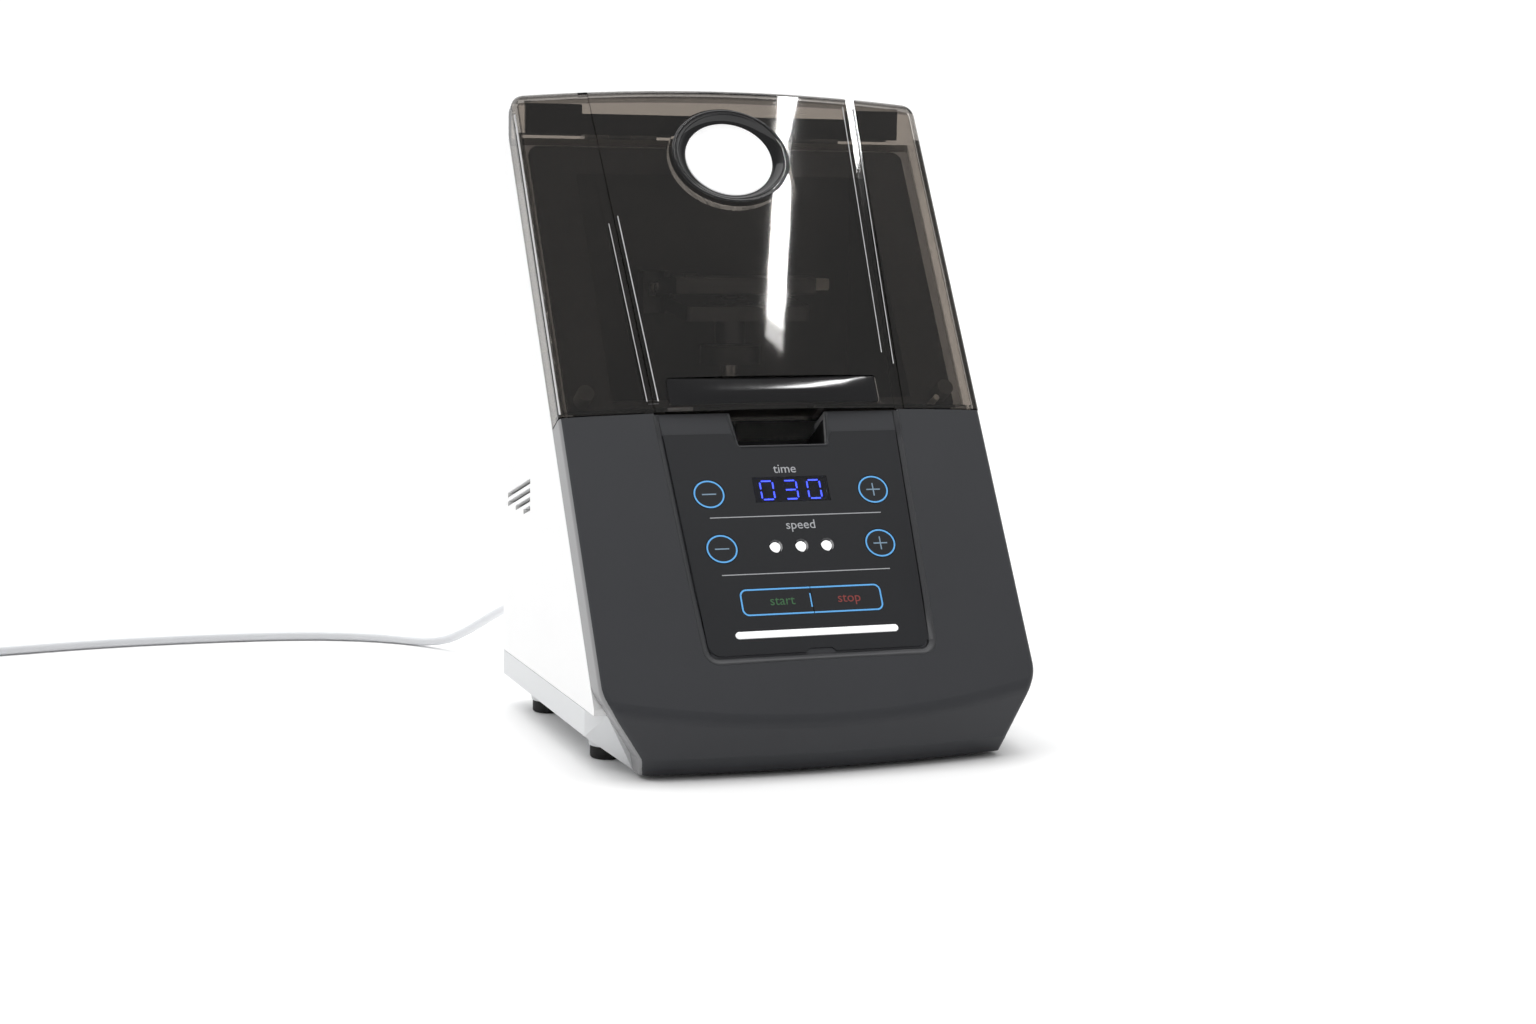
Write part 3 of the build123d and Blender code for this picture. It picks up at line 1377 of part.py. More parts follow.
with BuildPart() as power_switch:
    with BuildSketch(behind(switch_front)):
        with Locations((-inlet_x, switch_z)):
            Rectangle(2 * (switch_half_x - switch_gap), 2 * (switch_half_z - switch_gap))
    extrude(amount=rear_y - switch_front)
    with BuildSketch(behind(rear_y - wall - switch_flange)):
        with Locations((-inlet_x, switch_z)):
            Rectangle(2 * (switch_half_x + switch_flange), 2 * (switch_half_z + switch_flange))
    extrude(amount=switch_flange)
    with BuildSketch(behind(switch_floor)):
        with Locations((-inlet_x, switch_z)):
            Rectangle(2 * rocker_open_x, 2 * rocker_open_z)
    extrude(amount=20, mode=Mode.SUBTRACT)
    with Locations(Location((inlet_x, rocker_y, switch_z), (0, 90, 0))):
        Cylinder(rocker_pin + 0.05, rocker_pin_length + 0.2, mode=Mode.SUBTRACT)
save("power_switch", power_switch)

with BuildPart() as power_rocker:
    with BuildSketch(Plane(origin=(inlet_x, rocker_y, switch_z), z_dir=(1, 0, 0),
                           x_dir=(0, cos(radians(rocker_tilt)), sin(radians(rocker_tilt))))):
        add(outline((-rocker_root, -rocker_root_half), (-rocker_root, rocker_root_half),
                    (rocker_root, rocker_half_z), (rocker_tip, rocker_half_z), (rocker_vee, 0),
                    (rocker_tip, -rocker_half_z), (rocker_root, -rocker_half_z)))
    extrude(amount=rocker_half_x, both=True)
    with Locations(Location((inlet_x, rocker_y, switch_z), (0, 90, 0))):
        Cylinder(rocker_pin, rocker_pin_length)
save("power_rocker", power_rocker)

# Mains lead: strain relief, the free stretch, the put-away coil and the plug
cord_radius = 2.5
relief_end = 127.0
lead_end_x = -387.0
lead_end_y = 276.0
cord_rest = cord_radius
cord_route = [(inlet_x, relief_end, cord_z), (inlet_x, 147, cord_z), (-86, 178, 30), (-93, 210, 15),
              (-104, 238, cord_rest),
              (-132, 266, cord_rest), (-173, 283, cord_rest), (-228, 288, cord_rest), (-282, 287.5, cord_rest),
              (-332, 279.5, cord_rest), (-362, lead_end_y, cord_rest), (lead_end_x, lead_end_y, cord_rest)]

with BuildPart() as strain_relief:
    with BuildSketch(behind(rear_y - wall - 4)):
        with Locations((-inlet_x, cord_z)):
            Circle(7.0)
    extrude(amount=4)
    with BuildSketch(behind(rear_y - wall)):
        with Locations((-inlet_x, cord_z)):
            Circle(gland_radius - 0.2)
    extrude(amount=wall)
    with Locations(Location((inlet_x, rear_y, cord_z), (-90, 0, 0))):
        Cone(5.6, 3.4, relief_end - rear_y, align=(Align.CENTER, Align.CENTER, Align.MIN))
save("strain_relief", strain_relief)


def corner_radii(points):
    """The radius at each corner: 0.45 of the shorter run over the tangent of half the turn."""
    radii = []
    for before, here, after in zip(points, points[1:], points[2:]):
        arrive = Vector(*here) - Vector(*before)
        leave = Vector(*after) - Vector(*here)
        turn = radians(arrive.get_angle(leave))
        radii.append(0.45 * min(arrive.length, leave.length) / tan(turn / 2))
    return radii


cord_radii = corner_radii(cord_route)
print("cord corner radii", [round(radius, 1) for radius in cord_radii])
with BuildPart() as cord_free:
    with BuildLine() as cord_line:
        FilletPolyline(*cord_route, radius=cord_radii)
    with BuildSketch(Plane(origin=cord_route[0], z_dir=(0, 1, 0))):
        Circle(cord_radius)
    sweep()
cord_length = cord_line.wire().length
cord_section = pi * cord_radius ** 2
print("cord", round(cord_length, 1))
print("volume over section x length", cord_free.part.volume / (cord_section * cord_length))
save("cord_free", cord_free)

coil_x = -392.0
coil_first_radius = 41.5
coil_step = 2.75
coil_low_turns = 8
coil_high_turns = 5
layer_rise = 5.5
plug_lead = 39.0
high_z = cord_rest + layer_rise
with BuildPart() as cord_coil:
    with BuildLine() as coil_line:
        here = Vector(coil_x, lead_end_y, cord_rest)
        Line((lead_end_x, lead_end_y, cord_rest), here)
        for turn in range(coil_low_turns + coil_high_turns + 1):
            side = -1 if turn % 2 == 0 else 1
            radius = coil_first_radius - coil_step * min(turn, 2 * coil_low_turns - turn)
            rise = layer_rise if turn == coil_low_turns else 0
            there = here + Vector(0, side * 2 * radius, rise)
            middle = (here + there) / 2 + Vector(side * (there - here).length / 2, 0, 0)
            ThreePointArc(here, middle, there)
            here = there
        radius = coil_first_radius - coil_step * (coil_low_turns - coil_high_turns - 1)
        plug_x = coil_x - radius
        bend = here + Vector(-radius * sin(pi / 4), -radius * (1 - cos(pi / 4)), 0)
        ThreePointArc(here, bend, here + Vector(-radius, -radius, 0))
        here = here + Vector(-radius, -radius, 0)
        plug_y = here.Y - plug_lead
        Line(here, (plug_x, plug_y, high_z))
    with BuildSketch(Plane(origin=(lead_end_x, lead_end_y, cord_rest), z_dir=(-1, 0, 0))):
        Circle(cord_radius)
    sweep()
coil_length = coil_line.wire().length
print("coil", round(coil_length, 1))
print("volume over section x length", cord_coil.part.volume / (cord_section * coil_length))
samples = 900
track = [coil_line.wire().position_at(i / samples) for i in range(samples + 1)]
skip = int(12 / coil_length * samples) + 1
least = min((track[i] - track[k]).length for i in range(samples) for k in range(i + skip, samples + 1))
print("coil's least gap to itself", round(least - 2 * cord_radius, 2))
save("cord_coil", cord_coil)

plug_half = 13.0
plug_height = 16.0
plug_length = 36.0
pin_radius = 2.0
pin_length = 19.0
pin_half = 9.5
with BuildPart() as mains_plug:
    with BuildSketch(Plane(origin=(plug_x, plug_y, plug_height / 2), x_dir=(1, 0, 0), z_dir=(0, -1, 0))):
        Circle(3.6)
    extrude(amount=6)
    with BuildSketch(Plane(origin=(plug_x, plug_y - 6, plug_height / 2), x_dir=(1, 0, 0), z_dir=(0, -1, 0))):
        RectangleRounded(2 * plug_half, plug_height, 4)
    extrude(amount=plug_length - 6)
save("mains_plug", mains_plug)

with BuildPart() as plug_pins:
    with BuildSketch(Plane(origin=(plug_x, plug_y - plug_length, plug_height / 2), x_dir=(1, 0, 0),
                           z_dir=(0, -1, 0))):
        with Locations((-pin_half, 0), (pin_half, 0)):
            Circle(pin_radius)
    extrude(amount=pin_length)
    chamfer(plug_pins.faces().sort_by(Axis.Y)[0:2].edges(), length=0.8)
save("plug_pins", plug_pins)
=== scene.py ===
# %% [markdown]
# # A bench-top bead beater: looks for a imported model
#
# The shapes that move and fit were made as solids and arrive here as a frozen frame. This lesson
# adds what a photograph shows on top of them: plastics, smoke-tinted acrylic, printed ink, light
# and a soft mains lead. Everything is in metres and in the frame's own axes, so no piece needs to
# be lined up by eye: +X is right, -Y is the sloped front and +Z is up.

from math import cos, hypot, pi, radians, sin

import bpy
import numpy as np
from mathutils import Matrix, Vector


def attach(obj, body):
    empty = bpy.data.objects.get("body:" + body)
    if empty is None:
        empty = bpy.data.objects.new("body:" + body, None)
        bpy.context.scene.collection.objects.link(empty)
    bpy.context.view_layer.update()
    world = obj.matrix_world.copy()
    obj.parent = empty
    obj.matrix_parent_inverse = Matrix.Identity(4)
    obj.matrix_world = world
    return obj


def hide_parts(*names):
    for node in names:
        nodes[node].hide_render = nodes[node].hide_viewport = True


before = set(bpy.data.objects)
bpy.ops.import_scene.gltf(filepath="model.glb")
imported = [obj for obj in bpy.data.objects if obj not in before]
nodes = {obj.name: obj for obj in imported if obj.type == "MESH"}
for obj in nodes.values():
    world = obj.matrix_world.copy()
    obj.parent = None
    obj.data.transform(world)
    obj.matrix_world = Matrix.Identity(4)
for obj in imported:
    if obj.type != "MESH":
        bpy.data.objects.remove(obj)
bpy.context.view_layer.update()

# %% [markdown]
# ## The sloped face as a drawing board
#
# The keypad and the lid lie on one slanted face. It could be modelled flat and turned afterwards,
# but a finished piece has to keep its object unturned. So every print is drawn in the face's own
# coordinates, u to the right, v up the slope and w outwards, and one function carries whole arrays
# of such points into the frame.

# %% From the face to the frame
MM = 0.001
LEAN = radians(31.5)
SEAM_Y, SEAM_Z = -11.0, 153.0
HALF_WIDTH, BULGE = 105.0, 4.5


def on_face(u, v, w):
    """Frame points for face coordinates in mm: the seam's middle, plus v along the slope and w along its outward normal."""
    u, v, w = np.broadcast_arrays(np.asarray(u, float), np.asarray(v, float), np.asarray(w, float))
    y = SEAM_Y + v * sin(LEAN) - w * cos(LEAN)
    z = SEAM_Z + v * cos(LEAN) + w * sin(LEAN)
    return np.stack([u, y, z], axis=-1) * MM


def face_height(u):
    """How far the bulged face stands out at u: a shallow parabola, 4.5 mm in the middle and 0 at the sides."""
    return BULGE * (1 - (np.asarray(u) / HALF_WIDTH) ** 2)


print("seam's middle", on_face(0, 0, 0).round(4))

# %% [markdown]
# ## Camera
#
# The picture was taken from the left and a little above, with a long lens. The place and the lens
# were worked out from the body's corners. The camera's three directions are written as a matrix,
# because a roll of under one degree is easy to state that way and hard to set by hand.

# %% Camera
CAMERA_AT = Vector((-0.41004, -1.11205, 0.26812))
YAW, PITCH, ROLL = radians(20.29), radians(7.84), radians(0.94)
LENS = 58.98


def camera_matrix(at, yaw, pitch, roll):
    """Columns are right, up and backwards: yaw turns it about Z, pitch tips it down, roll turns it about its own view."""
    right = Vector((cos(yaw), -sin(yaw), 0))
    ahead = Vector((sin(yaw) * cos(pitch), cos(yaw) * cos(pitch), -sin(pitch)))
    above = right.cross(ahead)
    rolled_right = cos(roll) * right + sin(roll) * above
    rolled_up = cos(roll) * above - sin(roll) * right
    return Matrix.Translation(at) @ Matrix((rolled_right, rolled_up, -ahead)).transposed().to_4x4()


lens = bpy.data.cameras.new("camera")
lens.lens = LENS
lens.sensor_width = 36.0
lens.sensor_fit = "HORIZONTAL"
camera = bpy.data.objects.new("camera", lens)
camera.matrix_world = camera_matrix(CAMERA_AT, YAW, PITCH, ROLL)
bpy.context.collection.objects.link(camera)
bpy.context.scene.camera = camera
print("camera at", tuple(round(value, 3) for value in CAMERA_AT))

# %% [markdown]
# ## The mains lead
#
# A lead is a fixed length of something bendy, so it is one open NURBS spline with a round bevel,
# and not a chain of tubes. Its control points are the route's own corners: out of the strain
# relief, down to the floor behind the housing, then along the floor and out of the picture on the
# left. What the picture doesn't show is put away in a flat coil of seven turns in two layers.
# A NURBS curve cuts inside its control points, so the coil's points stand a little further out
# than the turns are.

# %% Route of the lead
LEAD_DIAMETER = 0.005
open_route = np.array([
    (-82, 127, 40), (-82, 147, 40), (-86, 178, 30), (-93, 210, 15), (-104, 238, 2.5), (-132, 266, 2.5),
    (-173, 283, 2.5), (-228, 288, 2.5), (-282, 287.5, 2.5), (-332, 279.5, 2.5), (-362, 276, 2.5), (-384, 276, 2.5),
])
COIL_X, COIL_Y = -392.0, 234.5
POINTS_A_TURN = 14
HALF_TURNS = 14
CLIMB = 8


def coil_points():
    """Half turns whose radius shrinks by 2.75 mm each down to the middle one and then grows again one cord higher.
    Angle runs on from the top of the first turn, anticlockwise seen from above; the centre shifts so that each half turn starts where the last ended."""
    step = pi / (POINTS_A_TURN / 2)
    angle = np.arange(0.5, HALF_TURNS * POINTS_A_TURN / 2) * step
    half = (angle // pi).astype(int)
    radius = 41.5 - 2.75 * np.minimum(half, 16 - half)
    starts = [276.0]
    for turn in range(HALF_TURNS):
        starts.append(starts[-1] + (-2 if turn % 2 == 0 else 2) * (41.5 - 2.75 * min(turn, 16 - turn)))
    side = np.where(half % 2 == 0, -1, 1)
    centre = np.array(starts)[half] + side * radius
    within = angle - half * pi
    stretch = 1 / cos(step / 2)
    x = COIL_X + side * radius * stretch * np.sin(within)
    y = centre - side * radius * stretch * np.cos(within)
    z = 2.5 + 5.5 * np.clip((angle - CLIMB * pi) / pi, 0, 1)
    return np.column_stack([x, y, z])


tail = np.array([(-399, 270.5, 8), (-413.5, 266.5, 8), (-424, 256, 8), (-428, 241.5, 8), (-428, 222, 8), (-428, 197, 8)])
lead_points = np.vstack([open_route, coil_points(), tail])
print("lead control points", len(lead_points))

# %% Lead as one spline
def lay_lead(name, points, diameter):
    """One open NURBS spline by its control points, in mm. The bevel is 1 m, scaled by each point's radius to the lead's own."""
    curve = bpy.data.curves.new(name, "CURVE")
    curve.dimensions = "3D"
    curve.resolution_u = 4
    curve.bevel_depth = 1.0
    curve.bevel_resolution = 3
    curve.use_fill_caps = True
    spline = curve.splines.new("NURBS")
    spline.points.add(len(points) - 1)
    spline.points.foreach_set("co", np.column_stack([points * MM, np.ones(len(points))]).ravel())
    spline.points.foreach_set("radius", np.full(len(points), diameter / 2))
    spline.order_u = 3
    spline.use_endpoint_u = True
    lead = bpy.data.objects.new(name, curve)
    bpy.context.collection.objects.link(lead)
    return lead


mains_lead = lay_lead("mains_lead", lead_points, LEAD_DIAMETER)
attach(mains_lead, "base")
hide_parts("cord_free", "cord_coil")
print("lead laid")

# %% [markdown]
# ## Sockets that can be added up
#
# Node graphs written in Python soon turn into lists of links. A small class that wraps one socket
# and answers to plus, minus and times keeps the maths readable: `1 - mask * 0.4` builds its own
# Math nodes. Colours don't go through it, because a Math node would turn them grey.

# %% Shader wires
class Wire:
    """One output socket of a shader tree, used in sums, and the place where any other node is added."""

    def __init__(self, tree, socket=None):
        self.tree = tree
        self.socket = socket

    def node(self, kind, settings=None, sockets=None, output=0):
        """Adds a node, sets it first, then gives its sockets their values or links, and wraps one output."""
        made = self.tree.nodes.new(kind)
        for key, value in (settings or {}).items():
            if key == "stops":
                ramp = made.color_ramp
                for place, colour in value[2:]:
                    ramp.elements.new(place)
                for element, (place, colour) in zip(ramp.elements, sorted(value)):
                    element.position = place
                    element.color = (*colour, 1)
            else:
                setattr(made, key, value)
        for key, value in (sockets or {}).items():
            if isinstance(value, Wire):
                self.tree.links.new(value.socket, made.inputs[key])
            else:
                made.inputs[key].default_value = value
        return Wire(self.tree, made.outputs[output])

    def maths(self, operation, first, second):
        return self.node("ShaderNodeMath", {"operation": operation}, {0: first, 1: second})

    def __add__(self, other):
        return self.maths("ADD", self, other)

    def __radd__(self, other):
        return self.maths("ADD", other, self)

    def __sub__(self, other):
        return self.maths("SUBTRACT", self, other)

    def __rsub__(self, other):
        return self.maths("SUBTRACT", other, self)

    def __mul__(self, other):
        return self.maths("MULTIPLY", self, other)

    def __rmul__(self, other):
        return self.maths("MULTIPLY", other, self)

    def __gt__(self, other):
        return self.maths("GREATER_THAN", self, other)


# %% Patterns that the finishes share
def place(start, stretch=(1, 1, 1)):
    """Object coordinates, which are metres in the frame, stretched along the axes."""
    coordinates = start.node("ShaderNodeTexCoord", output="Object")
    return start.node("ShaderNodeMapping", sockets={"Vector": coordinates, "Scale": stretch})


def noise(start, size, detail=2.0, stretch=(1, 1, 1)):
    """Cloudy noise from 0 to 1 whose blobs are size metres across."""
    sockets = {"Vector": place(start, stretch), "Scale": 1 / size, "Detail": detail, "Roughness": 0.55}
    return start.node("ShaderNodeTexNoise", sockets=sockets)


def tint(start, factor, low, high):
    """A colour between low and high by factor."""
    return start.node("ShaderNodeMix", {"data_type": "RGBA"}, {0: factor, 6: (*low, 1), 7: (*high, 1)}, output=2)


def relief(start, height, depth):
    """A normal that follows height, from 0 to 1, over depth metres."""
    return start.node("ShaderNodeBump", sockets={"Height": height, "Distance": depth, "Strength": 1.0})


def make_finish(name, constants, paint):
    """A Principled material: constants go straight onto its sockets, and paint returns what varies over the surface."""
    material = bpy.data.materials.new(name)
    material.use_nodes = True
    shader = material.node_tree.nodes["Principled BSDF"]
    for socket, value in constants.items():
        shader.inputs[socket].default_value = value
    for socket, wire in paint(Wire(material.node_tree)).items():
        material.node_tree.links.new(wire.socket, shader.inputs[socket])
    return material


print("shader helpers ready")

# %% [markdown]
# ## Moulded plastics
#
# An injection mould for a housing is spark-eroded, which leaves a grain of a few tenths of a
# millimetre. It could be modelled, but a bump from fine noise is what the eye reads. A second,
# slower noise shifts the colour and the gloss a little, as handling and flow lines do.

# %% Grained plastic
def grained(name, low, high, grain=0.00045, depth=0.00003, dull=0.5, spread=0.12, specular=0.5):
    """Fine grain as a bump, slow clouds in colour, and a gloss that follows both."""

    def paint(start):
        fine = noise(start, grain, 3.0)
        slow = noise(start, 0.06, 3.0)
        return {
            "Base Color": tint(start, slow * 0.7 + fine * 0.3, low, high),
            "Roughness": dull - spread / 2 + fine * spread * 0.5 + slow * spread * 0.5,
            "Normal": relief(start, fine, depth),
        }

    return make_finish(name, {"Specular IOR Level": specular}, paint)


def flanged_with_painted_reflection(name, low, high, reflection_low, reflection_high):
    """Grained plastic whose upright sides get a painted reflection, a silver-grey that stands for bright surroundings
    mirrored at a grazing angle: the mask is how far the surface's own normal points along X.
    """

    def paint(start):
        fine = noise(start, 0.00045, 3.0)
        slow = noise(start, 0.06, 3.0)
        normal = start.node("ShaderNodeTexCoord", output="Normal")
        across = start.node("ShaderNodeSeparateXYZ", sockets={"Vector": normal}, output=0)
        # side masks the upright sides, where the silver-grey is a painted reflection
        side = (across * across) > 0.45
        blend = slow * 0.7 + fine * 0.3
        body, side_reflection_paint = tint(start, blend, low, high), tint(start, blend, reflection_low, reflection_high)
        colour = start.node("ShaderNodeMix", {"data_type": "RGBA"}, {0: side, 6: body, 7: side_reflection_paint}, output=2)
        return {"Base Color": colour, "Roughness": 0.46 + fine * 0.06 + slow * 0.06 - side * 0.12, "Normal": relief(start, fine, 0.00004)}

    return make_finish(name, {"Specular IOR Level": 0.5}, paint)


finishes = {
    "cover": flanged_with_painted_reflection("cover_charcoal", (0.020, 0.0212, 0.0250), (0.029, 0.0305, 0.0355), (0.21, 0.21, 0.215), (0.26, 0.26, 0.265)),
    "charcoal": grained("charcoal_grain", (0.024, 0.025, 0.028), (0.034, 0.035, 0.039), dull=0.48, depth=0.00004),
    "cup": grained("cup_black", (0.008, 0.008, 0.009), (0.013, 0.013, 0.014), dull=0.55),
    "white": grained("housing_white", (0.80, 0.80, 0.80), (0.85, 0.85, 0.85), dull=0.48, depth=0.00003),
    "tray": grained("tray_grey", (0.60, 0.61, 0.62), (0.66, 0.67, 0.68), dull=0.5),
    # The chamber liner is near black: a painted shade for the dim, closed chamber under the lid.
    "liner": grained("chamber_painted_shade", (0.010, 0.010, 0.011), (0.020, 0.020, 0.021), dull=0.45, grain=0.0008),
    "black": grained("moulded_black", (0.018, 0.018, 0.019), (0.028, 0.028, 0.030), dull=0.45),
    "acetal": grained("bearing_plastic", (0.74, 0.73, 0.68), (0.80, 0.79, 0.74), dull=0.38, depth=0.00001),
    "grey": grained("lead_grey", (0.62, 0.63, 0.65), (0.70, 0.71, 0.73), dull=0.46, depth=0.00001),
    "plug": grained("plug_grey", (0.32, 0.325, 0.335), (0.37, 0.375, 0.385), dull=0.5, depth=0.00003),
}
print("grained finishes", len(finishes))

# %% [markdown]
# ## Gloss and rubber
#
# Polished mouldings aren't flat: the surface wanders by a few microns over a centimetre, which
# bends each reflection a little, and fingers leave faint dull patches. Rubber is the opposite,
# almost without gloss and with a coarse speckle.

# %% Gloss and rubber
def polished(name, low, high, dull=0.06, smear=0.08, ripple=0.000012):
    """A slow ripple in the normal and faint dull smears over a glossy base."""

    def paint(start):
        smears = noise(start, 0.022, 4.0)
        return {
            "Base Color": tint(start, noise(start, 0.03), low, high),
            "Roughness": dull + smears * smears * smear,
            "Normal": relief(start, noise(start, 0.012, 1.0), ripple),
        }

    return make_finish(name, {"Specular IOR Level": 0.5}, paint)


def rubbery(name, low, high):
    """Coarse speckle and no gloss to speak of."""

    def paint(start):
        speckle = noise(start, 0.0009, 4.0)
        return {
            "Base Color": tint(start, speckle, low, high),
            "Roughness": 0.72 + speckle * 0.2,
            "Normal": relief(start, speckle, 0.00006),
        }

    return make_finish(name, {"Specular IOR Level": 0.35}, paint)


finishes["gloss"] = polished("gloss_black", (0.005, 0.005, 0.006), (0.009, 0.009, 0.010))
finishes["rocker"] = polished("rocker_black", (0.012, 0.012, 0.013), (0.018, 0.018, 0.020), dull=0.2)
finishes["rubber"] = rubbery("rubber_black", (0.010, 0.010, 0.010), (0.022, 0.022, 0.022))
finishes["bumper"] = rubbery("bumper_grey", (0.10, 0.10, 0.10), (0.15, 0.15, 0.15))
print("gloss and rubber added")

# %% [markdown]
# ## Metals
#
# Ground, pressed and anodised parts differ mostly in how their marks run. Fine noise stretched
# along one axis gives the streaks of a grinding wheel or a rolling mill, and feeds both the gloss
# and a very shallow bump.

# %% Metals
def metal(name, low, high, dull, streak=(1, 1, 12), depth=0.000004, fleck=0.0004):
    """Streaks from noise stretched by streak, in colour, gloss and a shallow bump."""

    def paint(start):
        marks = noise(start, fleck, 3.0, streak)
        clouds = noise(start, 0.015, 2.0)
        return {
            "Base Color": tint(start, marks * 0.5 + clouds * 0.5, low, high),
            "Roughness": dull + marks * 0.16 + clouds * 0.06,
            "Normal": relief(start, marks, depth),
        }

    return make_finish(name, {"Metallic": 1.0}, paint)


finishes["steel"] = metal("ground_steel", (0.58, 0.58, 0.59), (0.70, 0.70, 0.71), 0.16)
finishes["zinc"] = metal("zinc_plate", (0.48, 0.49, 0.51), (0.62, 0.63, 0.66), 0.26, streak=(1, 1, 1), fleck=0.0012)
finishes["pressed"] = metal("pressed_steel", (0.55, 0.55, 0.56), (0.64, 0.64, 0.65), 0.28, streak=(0.08, 1, 1))
finishes["milled"] = metal("milled_aluminium", (0.68, 0.69, 0.70), (0.78, 0.79, 0.80), 0.30, streak=(0.05, 1, 1))
finishes["anodised"] = metal("anodised_aluminium", (0.07, 0.07, 0.072), (0.11, 0.11, 0.112), 0.40, streak=(1, 1, 1), depth=0.000008)
finishes["blued"] = metal("blued_steel", (0.05, 0.05, 0.055), (0.09, 0.09, 0.10), 0.30)
finishes["brass"] = metal("milled_brass", (0.62, 0.47, 0.20), (0.74, 0.58, 0.27), 0.22, streak=(1, 1, 8))
finishes["coated"] = grained("coated_steel", (0.020, 0.020, 0.021), (0.034, 0.034, 0.036), dull=0.36, grain=0.0007)
print("metals added")

# %% [markdown]
# ## Circuit boards
#
# Each board and its parts are one solid, so one material has to tell them apart. Height does it:
# what stands over the board's top is a component, coloured by a cell pattern, and the rest is
# green lacquer with paler tracks. Bricks of thin mortar make convincing tracks at this size.

# %% Circuit board
BOARD_TOP = 0.0237


def board_finish():
    """Green lacquer with tracks below BOARD_TOP, and cells of dark, grey and cream above it."""

    def paint(start):
        where = start.node("ShaderNodeTexCoord", output="Object")
        height = start.node("ShaderNodeSeparateXYZ", sockets={"Vector": where}, output=2)
        tracks = start.node("ShaderNodeTexBrick", sockets={
            "Vector": place(start), "Scale": 220.0, "Mortar Size": 0.06, "Color1": (0.02, 0.12, 0.05, 1),
            "Color2": (0.025, 0.14, 0.06, 1), "Mortar": (0.06, 0.26, 0.11, 1)})
        cells = start.node("ShaderNodeTexVoronoi", {"feature": "F1"}, {"Vector": place(start, (1, 1, 0)), "Scale": 70.0}, output=1)
        value = start.node("ShaderNodeSeparateColor", sockets={"Color": cells}, output=0)
        parts = start.node("ShaderNodeValToRGB", {"stops": [(0.0, (0.015, 0.015, 0.016)), (0.45, (0.03, 0.03, 0.032)),
                                                           (0.62, (0.25, 0.25, 0.26)), (0.8, (0.55, 0.50, 0.36))]}, {"Fac": value})
        above = height > BOARD_TOP
        colour = start.node("ShaderNodeMix", {"data_type": "RGBA"}, {0: above, 6: tracks, 7: parts}, output=2)
        return {"Base Color": colour, "Roughness": 0.28 + above * 0.2, "Normal": relief(start, noise(start, 0.0012), 0.00002)}

    return make_finish("circuit_board", {"Specular IOR Level": 0.5}, paint)


finishes["board"] = board_finish()
print("board finish added")

# %% [markdown]
# ## Smoked acrylic
#
# The lid is dark because its acrylic is dyed, not because it is painted, so white paper behind it
# shows as brown-grey. A transmitting Principled shader tints light at each surface it crosses.
# Base Color is therefore chosen from how much two walls let through. A faint veil of handling
# marks sits in the roughness. Along the top edge and at the front corners a painted shade makes the tint
# deeper; it stands for the long way that light takes through a wall there. Its bounds are given below.

# %% See-through plastics
RIM_V, RIM_ARCH = 0.1718, 0.272
RIM_X, RIM_W = 0.1018, -0.0035


def lid_rim_shade(start):
    """1 near the lid's arched top edge and its front corners, where the lid gets a painted shade, and 0 elsewhere.

    v = y sin(lean) + z cos(lean) and w = z sin(lean) - y cos(lean), both from the seam, in metres.
    The edge is where v + RIM_ARCH x^2 > RIM_V, so it drops by 3 mm towards the sides.
    A corner is where |x| > RIM_X and w > RIM_W.
    """
    where = start.node("ShaderNodeTexCoord", output="Object")
    x = start.node("ShaderNodeSeparateXYZ", sockets={"Vector": where}, output=0)
    y = start.node("ShaderNodeSeparateXYZ", sockets={"Vector": where}, output=1)
    z = start.node("ShaderNodeSeparateXYZ", sockets={"Vector": where}, output=2)
    v = y * sin(LEAN) + z * cos(LEAN) - (SEAM_Y * sin(LEAN) + SEAM_Z * cos(LEAN)) * MM
    w = z * sin(LEAN) - y * cos(LEAN) - (SEAM_Z * sin(LEAN) - SEAM_Y * cos(LEAN)) * MM
    top = (v + x * x * RIM_ARCH) > RIM_V
    corner = ((x * x) > RIM_X ** 2) * (w > RIM_W)
    return start.maths("MAXIMUM", top, corner)


def smoked(name, colour, dull, smear, rim=None):
    """Dyed clear plastic: tinted at each surface, glossy, with faint dull smears.

    rim gives a mask from 0 to 1 where a painted shade deepens the tint.
    """

    def paint(start):
        smears = noise(start, 0.035, 5.0)
        body = tint(start, noise(start, 0.05), [part * 0.97 for part in colour], colour)
        # A painted shade: the same tint, four to five times darker, for the lid's top edge and front corners.
        rim_shade_tint = tint(start, noise(start, 0.05), [part * 0.18 for part in colour], [part * 0.24 for part in colour])
        if rim:
            body = start.node("ShaderNodeMix", {"data_type": "RGBA"}, {0: rim(start), 6: body, 7: rim_shade_tint}, output=2)
        return {
            "Base Color": body,
            "Roughness": dull + smears * smears * smears * smear,
            "Normal": relief(start, noise(start, 0.02, 1.0), 0.000010),
        }

    return make_finish(name, {"Transmission Weight": 1.0, "IOR": 1.49, "Specular IOR Level": 0.5}, paint)


finishes["smoke"] = smoked("smoked_acrylic", (0.50, 0.465, 0.43), 0.022, 0.06, rim=lid_rim_shade)
# Pale grey for the lid's edge beads: a painted highlight.
finishes["edge_highlight"] = rubbery("painted_edge_highlight", (0.55, 0.55, 0.56), (0.75, 0.75, 0.76))
finishes["window"] = smoked("display_glass", (0.30, 0.31, 0.40), 0.03, 0.05)
print("see-through finishes added")

# %% [markdown]
# ## Light that comes from the part
#
# The digits, the lamps and the bar are lit. An emission colour with a slight unevenness looks like
# a diffuser in front of a chip. The strength is a plain number on the shader.

